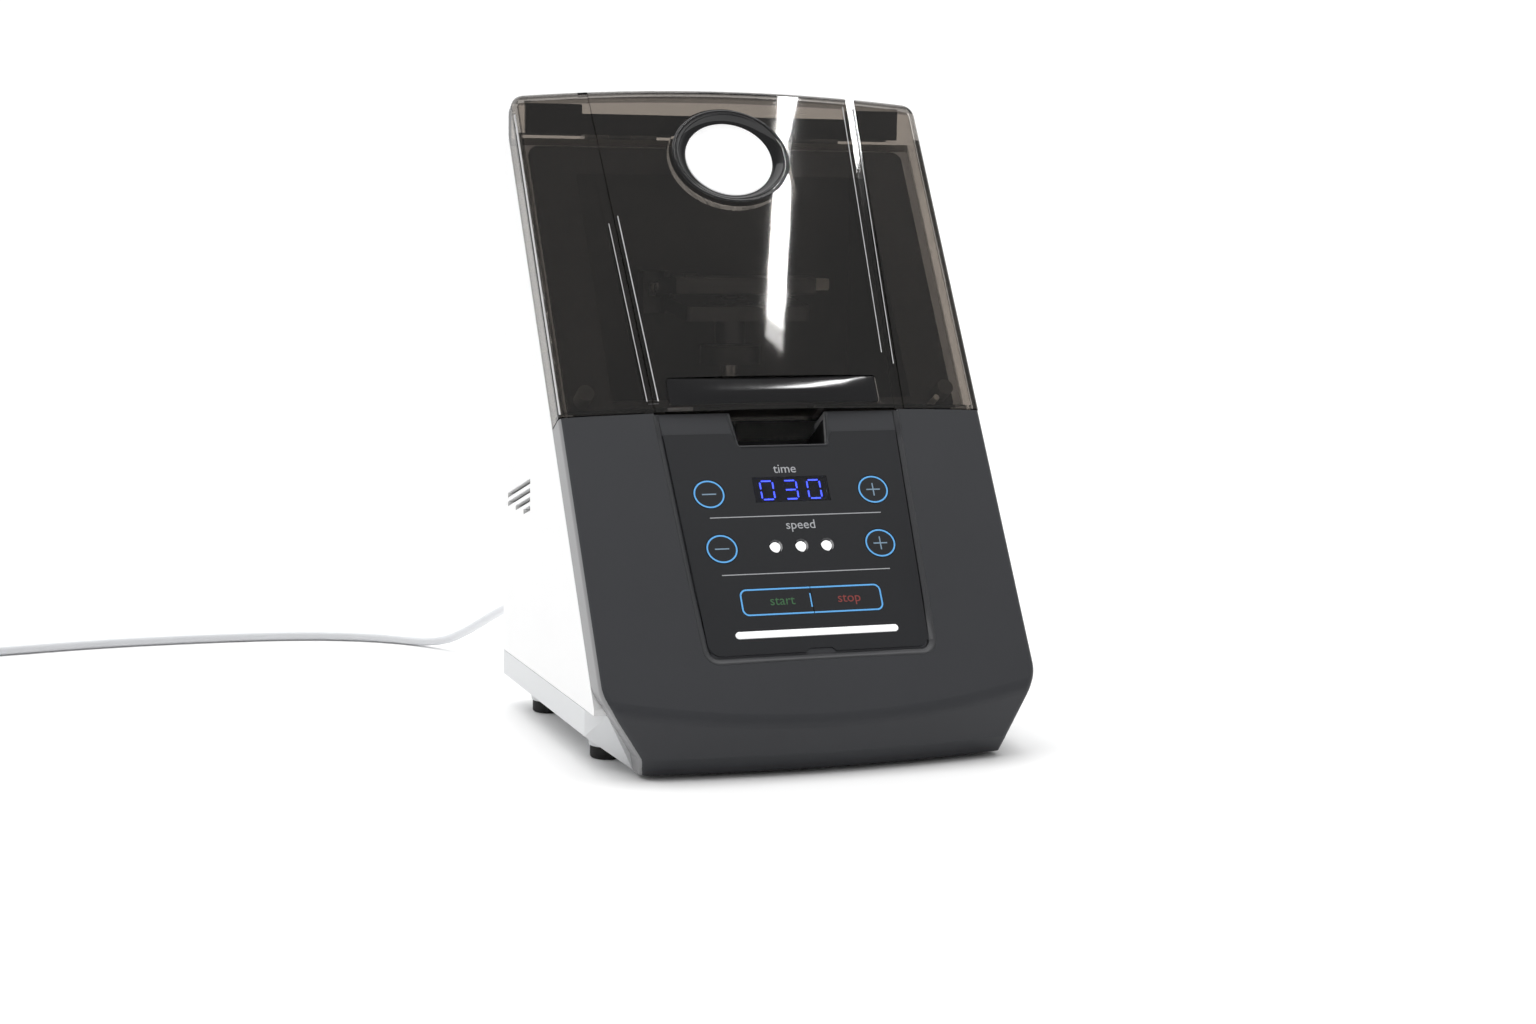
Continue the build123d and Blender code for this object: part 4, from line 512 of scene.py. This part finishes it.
# %% Lit plastics
def lit(name, colour, glow, strength, uneven=0.25):
    """A diffuser: a plain base and an emission that varies by uneven over a few millimetres."""

    def paint(start):
        cloud = noise(start, 0.003, 2.0)
        return {
            "Base Color": tint(start, cloud, [part * 0.9 for part in colour], colour),
            "Emission Color": tint(start, cloud, [part * (1 - uneven) for part in glow], glow),
            "Roughness": 0.3 + cloud * 0.1,
        }

    return make_finish(name, {"Emission Strength": strength}, paint)


finishes["digits"] = lit("digit_blue", (0.05, 0.07, 0.5), (0.06, 0.10, 1.0), 9.0)
finishes["lamp"] = lit("lamp_white", (0.85, 0.85, 0.86), (1.0, 1.0, 1.0), 1.1)
# The badge is no lamp: its faint glow is painted light that keeps the white disc bright.
finishes["badge"] = lit("badge_white_painted_glow", (0.90, 0.90, 0.90), (1.0, 1.0, 1.0), 0.3, uneven=0.04)
finishes["bar"] = lit("bar_white", (0.86, 0.86, 0.87), (0.98, 0.99, 1.0), 0.55)
print("lit finishes added")

# %% [markdown]
# ## Printed film and ink
#
# The keypad is a satin polyester film printed from behind. The film gets a very fine texture; the
# inks are thin pieces of their own a few hundredths of a millimetre above it, because printed
# lines painted in a texture would blur when the model is exported.

# %% Film and inks
def inked(name, colour, glow=0.0):
    """Screen ink: a flat colour broken by the mesh's fine dots, with a little painted glow that keeps it bright."""

    def paint(start):
        dots = noise(start, 0.0002, 1.0)
        return {
            "Base Color": tint(start, dots, [part * 0.88 for part in colour], colour),
            "Roughness": 0.36 + dots * 0.14,
            "Emission Color": tint(start, dots, [part * 0.9 for part in colour], colour),
        }

    return make_finish(name, {"Emission Strength": glow}, paint)


finishes["film"] = grained("keypad_film", (0.013, 0.0135, 0.0155), (0.018, 0.019, 0.022), grain=0.00025, depth=0.000008, dull=0.42, spread=0.1,
                            specular=0.3)
# Each ink's glow is painted light: no lamp lights the ink from behind.
finishes["blue"] = inked("ink_blue", (0.10, 0.36, 0.72), 0.35)
finishes["pale"] = inked("ink_pale", (0.42, 0.43, 0.45), 0.12)
finishes["glyph"] = inked("ink_glyph", (0.20, 0.30, 0.40), 0.15)
finishes["green"] = inked("ink_green", (0.035, 0.12, 0.045), 0.2)
finishes["red"] = inked("ink_red", (0.22, 0.035, 0.030), 0.2)
print("finishes", len(finishes))

# %% [markdown]
# ## Dress the solids
#
# Every solid keeps its shape and gets a finish. One table says which, so that a reader can see at
# a glance that nothing is left in the plain material it arrived in.

# %% Finish of each solid
dressed = {
    "cover": ["front_cover"],
    "cup": ["finger_cup"],
    "film": ["keypad_overlay", "time_minus_key", "time_plus_key", "speed_minus_key", "speed_plus_key", "start_key", "stop_key"],
    "window": ["display_window"],
    "digits": ["display_segments"],
    "lamp": ["speed_lamps"],
    "bar": ["light_bar"],
    "board": ["control_board", "power_board", "driver_board"],
    "zinc": ["inner_screws", "outer_screws", "hinge_brackets"],
    "white": ["rear_housing"],
    "tray": ["base_tray"],
    "rubber": ["rubber_feet", "shaft_seal", "drive_isolators"],
    "bumper": ["lid_bumpers"],
    "steel": ["hinge_pins", "drive_shaft", "bail_pins", "lock_bolt", "shaft_bearing"],
    "blued": ["hub_bearing", "skew_hub"],
    "pressed": ["lid_strike"],
    "coated": ["lock_solenoid", "drive_motor", "lid_hinge_leaf", "counterweight"],
    "black": ["display_module", "lid_switch", "fan_frame", "fan_rotor", "power_switch", "clamp_slider"],
    "rocker": ["power_rocker"],
    "liner": ["chamber_liner"],
    "acetal": ["rest_buffer", "guide_tongue", "lid_plunger"],
    "milled": ["drive_bracket"],
    "anodised": ["tube_carrier", "clamp_bail", "guide_bracket"],
    "brass": ["plug_pins"],
    "grey": ["strain_relief"],
    "plug": ["mains_plug"],
    "smoke": ["lid_shell"],
    "badge": ["lid_badge"],
    "gloss": ["lid_nameplate"],
}


def dress(piece, material):
    """Puts one material on a piece's mesh or curve."""
    piece.data.materials.clear()
    piece.data.materials.append(material)


for finish_name, node_names in dressed.items():
    for node_name in node_names:
        dress(nodes[node_name], finishes[finish_name])
dress(mains_lead, finishes["grey"])
left_plain = set(nodes) - {name for names in dressed.values() for name in names} - {"cord_free", "cord_coil"}
print("solids left plain", sorted(left_plain))

# %% [markdown]
# ## Surfaces from two parameters
#
# The small pieces on the face are grids of points: a profile goes one way and a path the other.
# The whole grid is worked out at once as an array, and one function turns it into a mesh, closes
# its seam or its ends where asked, and makes sure that the faces point outwards.

# %% Grid to mesh
def grid_piece(name, points, finish, body, loop=False, ring=True, smooth=False):
    """A mesh from rows of points. ring joins each row's end to its start, loop joins the last row to the first; otherwise the ends are capped.
    The signed volume, a third of the sum of centre times area, says whether the faces point outwards."""
    rows, columns = points.shape[:2]
    index = np.arange(rows * columns).reshape(rows, columns)
    across = np.concatenate([index, index[:, :1]], axis=1) if ring else index
    grid = np.concatenate([across, across[:1]], axis=0) if loop else across
    quads = np.stack([grid[:-1, :-1], grid[1:, :-1], grid[1:, 1:], grid[:-1, 1:]], axis=-1).reshape(-1, 4)
    flat = points.reshape(-1, 3)
    corners = flat[quads]
    area = np.cross(corners[:, 2] - corners[:, 0], corners[:, 3] - corners[:, 1])
    middle = flat.mean(axis=0)
    if (area * (corners.mean(axis=1) - middle)).sum() < 0:
        quads = quads[:, ::-1]
    faces = quads.tolist()
    if ring and not loop:
        flip = 1 if (quads[0, 0] == grid[0, 0]) == (quads[0, 1] == grid[1, 0]) else -1
        faces += [index[0][::flip].tolist(), index[-1][::-flip].tolist()]
    mesh = bpy.data.meshes.new(name)
    mesh.from_pydata(flat.tolist(), [], faces)
    mesh.validate()
    if smooth:
        mesh.shade_smooth()
    piece = bpy.data.objects.new(name, mesh)
    bpy.context.collection.objects.link(piece)
    dress(piece, finishes[finish])
    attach(piece, body)
    return piece


def round_path(corners, radius, closed=True, steps=6):
    """A polyline whose corners are arcs: each arc is spread over steps points about a centre set back along both sides."""
    corners = np.asarray(corners, float)
    path = []
    for here in range(len(corners)):
        if not closed and here in (0, len(corners) - 1):
            path.append(corners[here][None])
            continue
        before = corners[here - 1] - corners[here]
        after = corners[(here + 1) % len(corners)] - corners[here]
        before, after = before / np.linalg.norm(before), after / np.linalg.norm(after)
        half = np.arccos(np.clip(before @ after, -1, 1)) / 2
        back = radius / np.tan(half)
        middle = corners[here] + (before + after) / np.linalg.norm(before + after) * radius / np.sin(half)
        start, end = corners[here] + before * back - middle, corners[here] + after * back - middle
        turn = np.linspace(0, 1, steps)[:, None]
        arc = start * (1 - turn) + end * turn
        path.append(middle + arc / np.linalg.norm(arc, axis=1, keepdims=True) * radius)
    return np.vstack(path)


def sideways(path, closed):
    """The left-hand unit normal at each point of a flat path, lengthened at corners so that a strip keeps its width."""
    ahead = np.roll(path, -1, axis=0) - path
    if not closed:
        ahead[-1] = ahead[-2]
    ahead /= np.linalg.norm(ahead, axis=1, keepdims=True)
    behind = np.roll(ahead, 1, axis=0)
    if not closed:
        behind[0] = ahead[0]
    mean = ahead + behind
    mean /= np.linalg.norm(mean, axis=1, keepdims=True)
    widen = 1 / np.clip((mean * ahead).sum(axis=1, keepdims=True), 0.5, 1)
    return np.column_stack([-mean[:, 1], mean[:, 0]]) * widen


INK = 0.04
FILM_W = 2.3


def ink_line(name, path, width, finish, body, closed=False, low=FILM_W):
    """A flat strip of ink: a rectangle, width by INK, carried along a path on the face."""
    path = np.asarray(path, float)
    side = sideways(path, closed) * width / 2
    left, right = path + side, path - side
    base, top = low - 0.01, low + INK
    points = np.stack([on_face(left[:, 0], left[:, 1], base), on_face(right[:, 0], right[:, 1], base),
                       on_face(right[:, 0], right[:, 1], top), on_face(left[:, 0], left[:, 1], top)], axis=1)
    return grid_piece(name, points, finish, body, loop=closed)


print("surface helpers ready")

# %% [markdown]
# ## Keypad print
#
# Each round key carries a thin ring and a plus or a minus. They ride with the key's own body, so
# they sink with it when it is pressed. The start and stop keys share one rounded outline, and each
# half of it rides with its own key.

# %% Rings and signs
round_keys = {
    "time_minus": (-40.5, -41.3), "time_plus": (40.5, -41.3), "speed_minus": (-38.8, -68.5), "speed_plus": (38.8, -68.5),
}
turn = np.linspace(0, 2 * pi, 48, endpoint=False)
for body, (u, v) in round_keys.items():
    ring = np.column_stack([u + 7.0 * np.cos(turn), v + 6.5 * np.sin(turn)])
    ink_line(body + "_ring", ring, 0.75, "blue", body, closed=True)
    ink_line(body + "_bar", [(u - 3.4, v), (u + 3.4, v)], 0.6, "glyph", body)
    if body.endswith("plus"):
        ink_line(body + "_post", [(u, v - 3.2), (u, v + 3.2)], 0.6, "glyph", body, low=FILM_W + 0.005)
print("rings", len(round_keys))

# %% Start and stop outline
OUTLINE_HALF, OUTLINE_TOP, OUTLINE_BOTTOM = 33.9, -89.0, -101.2
for body, side in (("start", -1), ("stop", 1)):
    inner = side * 0.16
    half_box = round_path([(inner, OUTLINE_TOP), (side * OUTLINE_HALF, OUTLINE_TOP), (side * OUTLINE_HALF, OUTLINE_BOTTOM), (inner, OUTLINE_BOTTOM)],
                          2.9, closed=False)
    ink_line(body + "_outline", half_box, 0.75, "blue", body)
ink_line("start_divider", [(-0.56, -91.8), (-0.56, -98.5)], 0.6, "blue", "start")

# %% Lines across the film
ink_line("line_upper", [(-42, -53.1), (42, -53.1)], 0.42, "pale", "base")
ink_line("line_lower", [(-41, -81.4), (41, -81.4)], 0.42, "pale", "base")
print("outline and lines drawn")

# %% [markdown]
# ## Words on the film
#
# The film has four plain words. A text object could be placed and turned, but a finished piece
# keeps its object at the origin, so each word is first made a mesh and its points are then carried
# onto the face like any other drawing.

# %% Words
def print_word(word, height, u, v, finish, body, slot):
    """A word centred on u and v: the text's x and y become the face's u and v, and its thickness becomes w."""
    curve = bpy.data.curves.new("word_" + word, "FONT")
    curve.body = word
    curve.size = height
    curve.align_x = "CENTER"
    curve.extrude = INK / 2
    curve.resolution_u = 3
    text = bpy.data.objects.new("text_" + word, curve)
    bpy.context.collection.objects.link(text)
    bpy.context.view_layer.update()
    mesh = bpy.data.meshes.new_from_object(text.evaluated_get(bpy.context.evaluated_depsgraph_get()))
    bpy.data.objects.remove(text)
    flat = np.empty(len(mesh.vertices) * 3)
    mesh.vertices.foreach_get("co", flat)
    flat = flat.reshape(-1, 3)
    mesh.vertices.foreach_set("co", on_face(u + flat[:, 0], v + flat[:, 1], FILM_W + INK / 2 + flat[:, 2]).ravel())
    mesh.update()
    piece = bpy.data.objects.new("word_" + word, mesh)
    bpy.context.collection.objects.link(piece)
    dress(piece, finishes[finish])
    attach(piece, body)
    return flat[:, 0].max() - flat[:, 0].min()


words = [
    ("time", 6.3, -1.6, -31.5, "pale", "base", "keypad_overlay"), ("speed", 6.3, 1.2, -59.8, "pale", "base", "keypad_overlay"),
    ("start", 6.5, -14.4, -96.8, "green", "start", "start_key"), ("stop", 6.5, 18.1, -96.8, "red", "stop", "stop_key"),
]
for entry in words:
    print(entry[0], "is", round(print_word(*entry), 1), "mm wide")

# %% [markdown]
# ## The lip round the keypad
#
# The film lies in a shallow pocket of the front cover. In the solid the pocket has an upright
# wall; the real moulding rolls over it softly, and that roll catches the light below the film.
# It is a profile that eases from the pocket's floor up to the bulged face, carried round three
# sides. The path is rounded at the lower corners, as the pocket is.

# %% Pocket lip
def pocket_lip():
    """Rows follow the pocket's edge; columns follow s from the floor outwards, with height = floor + rise * (3s^2 - 2s^3), then go back underneath."""
    path = round_path([(-60.7, -1.2), (-55.5, -124.0), (55.5, -124.0), (60.7, -1.2)], 7.0, closed=False, steps=10)
    fill = [np.linspace(path[k], path[k + 1], 8, endpoint=False) for k in range(len(path) - 1)]
    path = np.vstack(fill + [path[-1:]])
    outwards = -sideways(path, closed=False)
    reach = np.where(np.abs(path[:, 1] + 124) < 9, 3.3, 2.3)[:, None]
    reach = (np.roll(reach, 1, axis=0) + reach + np.roll(reach, -1, axis=0)) / 3
    share = np.linspace(0, 1, 9)[None, :]
    offset = np.concatenate([-reach * (1 - share), np.full((len(path), 1), 0.7), np.full((len(path), 1), 0.3)], axis=1)
    ease = 3 * share ** 2 - 2 * share ** 3
    u = path[:, :1] + outwards[:, :1] * offset
    v = path[:, 1:] + outwards[:, 1:] * offset
    rise = face_height(path[:, :1] + outwards[:, :1] * 0.7) - 1.8
    w = np.concatenate([1.83 + (rise + 0.04) * ease, 1.8 + rise + 0.02, 1.8 + rise - 0.4], axis=1)
    return on_face(u, v, w)


lip = grid_piece("pocket_lip", pocket_lip(), "charcoal", "base", smooth=True)
print("lip faces", len(lip.data.polygons))

# %% Bead round the finger notch
def notch_bead():
    """A half-round bead, 1.1 mm wide and 0.5 mm high, carried down one side of the notch, across its foot and up the other."""
    path = round_path([(24.6, -1.0), (22.4, -17.6), (-22.4, -17.6), (-24.6, -1.0)], 1.2, closed=False)
    side = sideways(path, closed=False)
    angle = np.linspace(0, pi, 9)[None, :]
    across = 0.55 * np.cos(angle)
    return on_face(path[:, :1] + side[:, :1] * across, path[:, 1:] + side[:, 1:] * across, 1.79 + 0.55 * np.sin(angle))


grid_piece("notch_bead", notch_bead(), "charcoal", "base", smooth=True)

# %% [markdown]
# ## The lid's badge dish and plate
#
# Round the badge the lid has a polished dish. In the solid it is a flat well; here a curved ring
# falls from the lid's skin to the badge, with a fine rolled rim that gives the bright crescents.
# The plate at the lid's foot gets a crown, a face that domes by half a millimetre, because a dead
# flat black plate reflects nothing and looks like a hole. Both places are left bare.

# %% Badge dish
def badge_dish():
    """Rows go round the ellipse; columns go out from the badge: height = 0.5 + 3.6 * s^2.2, a rolled rim, then back underneath."""
    angle = np.linspace(0, 2 * pi, 72, endpoint=False)[:, None]
    share = np.array([0, 0.15, 0.3, 0.45, 0.6, 0.75, 0.88, 0.96, 1.0, 1.08, 1.22, 1.34, 1.38, 1.38, 0.5, 0.0])[None, :]
    height = np.array([0.5, 0.56, 0.75, 1.1, 1.65, 2.4, 3.2, 3.85, 4.3, 4.66, 4.76, 4.68, 4.55, 4.3, 0.1, 0.02])[None, :]
    u = (22.4 + 5.5 * share) * np.cos(angle)
    v = 137.5 + (20.2 + 4.2 * share) * np.sin(angle)
    drop = 4.5 - face_height(u)
    return on_face(u, v, height - drop * np.clip(share, 0, 1) * (height > 0.3))


grid_piece("badge_dish", badge_dish(), "gloss", "lid", loop=True, smooth=True)


# %% Crowned plate
def plate_crown():
    """u and v run over the plate; height = rim + 0.5 * (1 - U^10) * (1 - V^2), with a skirt and a flat underside."""
    share = np.array([-1, -1, -0.985, -0.95, -0.85, -0.6, -0.3, 0, 0.3, 0.6, 0.85, 0.95, 0.985, 1, 1])
    run = np.array([-1, -1, -0.99, -0.97, -0.9, -0.7, -0.35, 0, 0.35, 0.7, 0.9, 0.97, 0.99, 1, 1])
    across, along = np.meshgrid(share, run)
    crown = 3.12 + 0.5 * (1 - np.abs(along) ** 10) * (1 - across ** 2)
    crown[0], crown[-1], crown[:, 0], crown[:, -1] = 3.08, 3.08, 3.08, 3.08
    return on_face(51.6 * along, 10.65 + 6.35 * across, crown)


grid_piece("plate_crown", plate_crown(), "gloss", "lid", ring=False, smooth=True)
print("lid trims made")

# %% [markdown]
# ## Rear wiper
#
# Between the housing's ledge and the hinge leaf the solids leave a gap that light shines through.
# The real machine closes it, or beads and dust would get out, so a low rubber lip stands on the
# ledge behind the leaf, clear of the leaf's swing. Its section is an arch carried straight across.

# %% Rubber lip behind the leaf
def rear_lip():
    """The section is an arch, 1.2 mm thick and 2.3 mm high; rows step across x."""
    x = np.linspace(-96, 96, 13)[:, None]
    angle = np.linspace(0, pi, 9)[None, :]
    y = 94.2 + 0.6 * np.cos(angle) + 0 * x
    z = 279.0 + 2.3 * np.sin(angle) ** 0.6 + 0 * x
    return np.stack([x + 0 * angle, y, z], axis=-1) * MM


grid_piece("rear_wiper", rear_lip(), "rubber", "base", smooth=True)

# %% [markdown]
# ## Bright edges of the lid
#
# Two moulded grooves run down the lid, and their edges and the lid's left edge show as thin white
# lines, highlights of the lights on rounded edges. They could be left to a highlight on a rounded
# edge, but a quarter millimetre wide one is lost at this distance, so each edge gets a slim pale
# bead that follows the bulge of the lid: a painted highlight.

# %% Edge beads
def lid_highlight_bead(name, start, end, radius, sink=0.0):
    """A half-round bead on the lid from start to end, both (u, v): the circle's upper half carried along the line at the bulge's height."""
    share = np.linspace(0, 1, 24)[:, None]
    angle = np.linspace(0, pi, 7)[None, :]
    u = start[0] + (end[0] - start[0]) * share + radius * np.cos(angle)
    v = start[1] + (end[1] - start[1]) * share + 0 * angle
    w = face_height(u) - sink + radius * np.sin(angle) * np.clip(12 * share * (1 - share) + 0.25, 0, 1)
    return grid_piece(name, on_face(u, v, w), "edge_highlight", "lid", smooth=True)


# Each bead is pale grey: a painted highlight along its edge.
grooves = {
    "bead_right_outer": ((70.9, 168), (63.7, 24), 0.22), "bead_right_inner": ((64.9, 168), (58.6, 30), 0.22),
    "bead_left_outer": ((-67.2, 100), (-62.9, 6), 0.20), "bead_left_inner": ((-62.3, 104), (-57.6, 6), 0.26),
    "bead_left_foot": ((-62.6, 4.6), (-57.6, 4.6), 0.2), "bead_left_edge": ((-104.4, 161), (-104.4, 1.5), 0.42),
}
for name, (start, end, radius) in grooves.items():
    lid_highlight_bead(name, start, end, radius)
print("edge beads", len(grooves))

# %% [markdown]
# ## Screw drives and switch marks
#
# A screw head without its drive reads as a peg. Twelve shallow black crosses are laid over the heads
# under the tray and on the back: a painted shade where each drive's recess would be. The rocker gets
# the usual line and circle. All of them are boxes or rings of only a few faces.

# %% Crosses on the screw heads
def cross_points(centres, normal, first, second, reach=1.7, half=0.32, proud=0.03):
    """Two thin boxes a head: every centre plus signed reach along one axis and signed half along the other."""
    signs = np.array([(-1, -1), (1, -1), (1, 1), (-1, 1)])
    boxes = []
    for along, aside in ((first, second), (second, first)):
        rim = signs[:, :1] * reach * along + signs[:, 1:] * half * aside
        boxes.append(np.stack([rim - normal * 0.02, rim + normal * proud]))
    boxes = np.stack(boxes)
    return (centres[:, None, None, None, :] + boxes[None]).reshape(-1, 2, 4, 3) * MM


x_axis, y_axis, z_axis = np.eye(3)
back_heads = np.array([(58 + i * 25, 94.9, 76 + k * 25) for i in (-1, 1) for k in (-1, 1)], float)
tray_heads = np.array([(side * 92, y, 13.0) for side in (-1, 1) for y in (-50, 84)], float)
foot_heads = np.array([(side * 88, y, 1.0) for side in (-1, 1) for y in (-35, 66)], float)
boxes = np.concatenate([cross_points(back_heads, y_axis, x_axis, z_axis), cross_points(tray_heads, -z_axis, x_axis, y_axis),
                        cross_points(foot_heads, -z_axis, x_axis, y_axis)])
box_faces = np.array([(0, 1, 2, 3), (7, 6, 5, 4), (0, 4, 5, 1), (1, 5, 6, 2), (2, 6, 7, 3), (3, 7, 4, 0)])
all_faces = (box_faces[None] + 8 * np.arange(len(boxes))[:, None, None]).reshape(-1, 4)
mesh = bpy.data.meshes.new("screw_drive_shade")
mesh.from_pydata(boxes.reshape(-1, 3).tolist(), [], all_faces.tolist())
screw_drive_shade = bpy.data.objects.new("screw_drive_shade", mesh)
bpy.context.collection.objects.link(screw_drive_shade)
# Black crosses: painted shade for the drive recesses.
dress(screw_drive_shade, finishes["black"])
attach(screw_drive_shade, "base")
print("crosses", len(boxes) // 2)

# %% Marks on the rocker
ROCKER_TILT = radians(8)


def on_rocker(x, up, out):
    """Frame points on the rocker's outer faces: x across it, up along it, out proud of the shallow vee from 3.4 to 4.6 mm."""
    x, up, out = np.broadcast_arrays(np.asarray(x, float), np.asarray(up, float), np.asarray(out, float))
    depth = 3.4 + np.abs(up) * 1.2 / 8.4 + out
    y = 88 + depth * cos(ROCKER_TILT) - up * sin(ROCKER_TILT)
    z = 72 + depth * sin(ROCKER_TILT) + up * cos(ROCKER_TILT)
    return np.stack([-82 + x, y, z], axis=-1) * MM


def rocker_mark(name, left, right, loop):
    """A strip between two outlines on the rocker, 0.03 mm proud."""
    points = np.stack([on_rocker(*left.T, -0.02), on_rocker(*right.T, -0.02), on_rocker(*right.T, 0.03), on_rocker(*left.T, 0.03)], axis=1)
    return grid_piece(name, points, "pale", "rocker", loop=loop)


circle = np.column_stack([np.cos(turn), np.sin(turn)])
rocker_mark("rocker_off_mark", circle * 1.75 + (0, -4.6), circle * 1.3 + (0, -4.6), True)
rocker_mark("rocker_on_mark", np.array([(-0.22, 2.9), (-0.22, 6.3)]), np.array([(0.22, 2.9), (0.22, 6.3)]), False)
print("switch marked")

# %% [markdown]
# ## Floor and light
#
# The picture is a product shot on white: the floor and the background burn out, the left side of
# the housing nearly does, and the dark front is lit only softly. A pale floor, a broad sun from
# behind the left shoulder and a sky that is bright behind the object and dim in front of it give
# that. Three narrow strips, end to end, stand where the lid mirrors them, and make the tall streak,
# which fades towards its foot.

# %% Floor
FLOOR_HALF = 30.0
floor_mesh = bpy.data.meshes.new("floor")
floor_mesh.from_pydata([(-FLOOR_HALF, -FLOOR_HALF, 0), (FLOOR_HALF, -FLOOR_HALF, 0), (FLOOR_HALF, FLOOR_HALF, 0), (-FLOOR_HALF, FLOOR_HALF, 0)],
                       [], [(0, 1, 2, 3)])
floor = bpy.data.objects.new("floor", floor_mesh)
bpy.context.collection.objects.link(floor)
dress(floor, make_finish("floor_white", {"Roughness": 0.9, "Specular IOR Level": 0.1},
                         lambda start: {"Base Color": tint(start, noise(start, 0.4), (0.88, 0.88, 0.88), (0.90, 0.90, 0.90))}))


# %% Sky
def make_sky(front, back, shown):
    """A sky whose brightness rises from front to back along +Y, and which the camera itself sees as shown."""
    world = bpy.data.worlds.new("studio")
    bpy.context.scene.world = world
    world.use_nodes = True
    start = Wire(world.node_tree)
    where = start.node("ShaderNodeTexCoord", output="Generated")
    depth = start.node("ShaderNodeSeparateXYZ", sockets={"Vector": where}, output=1)
    bright = start.node("ShaderNodeMapRange", {"interpolation_type": "SMOOTHSTEP"},
                        {"Value": depth, "From Min": -0.45, "From Max": 0.35, "To Min": front, "To Max": back})
    seen = start.node("ShaderNodeLightPath", output="Is Camera Ray")
    strength = bright * (1 - seen) + seen * shown
    background = world.node_tree.nodes["Background"]
    background.inputs["Color"].default_value = (1, 1, 1, 1)
    world.node_tree.links.new(strength.socket, background.inputs["Strength"])


make_sky(front=0.37, back=1.08, shown=1.1)


# %% Lamps
def add_lamp(name, kind, at, aim, energy, **settings):
    """A lamp at one point that looks at another."""
    lamp = bpy.data.lights.new(name, kind)
    lamp.energy = energy
    for key, value in settings.items():
        setattr(lamp, key, value)
    stand = bpy.data.objects.new(name, lamp)
    stand.location = at
    stand.rotation_euler = (Vector(aim) - Vector(at)).to_track_quat("-Z", "Y").to_euler()
    bpy.context.collection.objects.link(stand)
    return stand


add_lamp("sun", "SUN", (-0.18, 0.70, 1.9), (0, 0, 0), 2.4, angle=radians(85))
LID_MIDDLE = Vector((0.02, 0.03, 0.24))
STREAK_LOW, STREAK_HIGH = Vector((0.708, -0.968, 1.784)), Vector((0.835, -0.678, 1.977))
STREAK_WIDTH = 0.046


def add_strip(name, low, high, width, power):
    """A narrow rectangle of light from low to high that faces the lid: its long side is the line between them."""
    middle = (low + high) / 2
    length = (high - low).length
    strip = add_lamp(name, "AREA", middle, LID_MIDDLE, power * width * length, shape="RECTANGLE", size=width, size_y=length)
    facing = (LID_MIDDLE - middle).normalized()
    long_way = (high - low).normalized()
    facing = (facing - facing.dot(long_way) * long_way).normalized()
    short_way = long_way.cross(-facing)
    strip.matrix_world = Matrix.Translation(middle) @ Matrix((short_way, long_way, -facing)).transposed().to_4x4()


for name, start, end, power in (("streak_foot", 0.0, 0.08, 30), ("streak_calf", 0.08, 0.18, 75), ("streak_body", 0.18, 1.0, 130)):
    add_strip(name, STREAK_LOW.lerp(STREAK_HIGH, start), STREAK_LOW.lerp(STREAK_HIGH, end), STREAK_WIDTH, power)
bpy.context.scene.view_settings.view_transform = "Standard"
print("lit")

# %% [markdown]
# ## Last update
#
# The view layer is brought up to date. The dressed model has to stay in the box of the solids.

# %% Finish
bpy.context.view_layer.update()
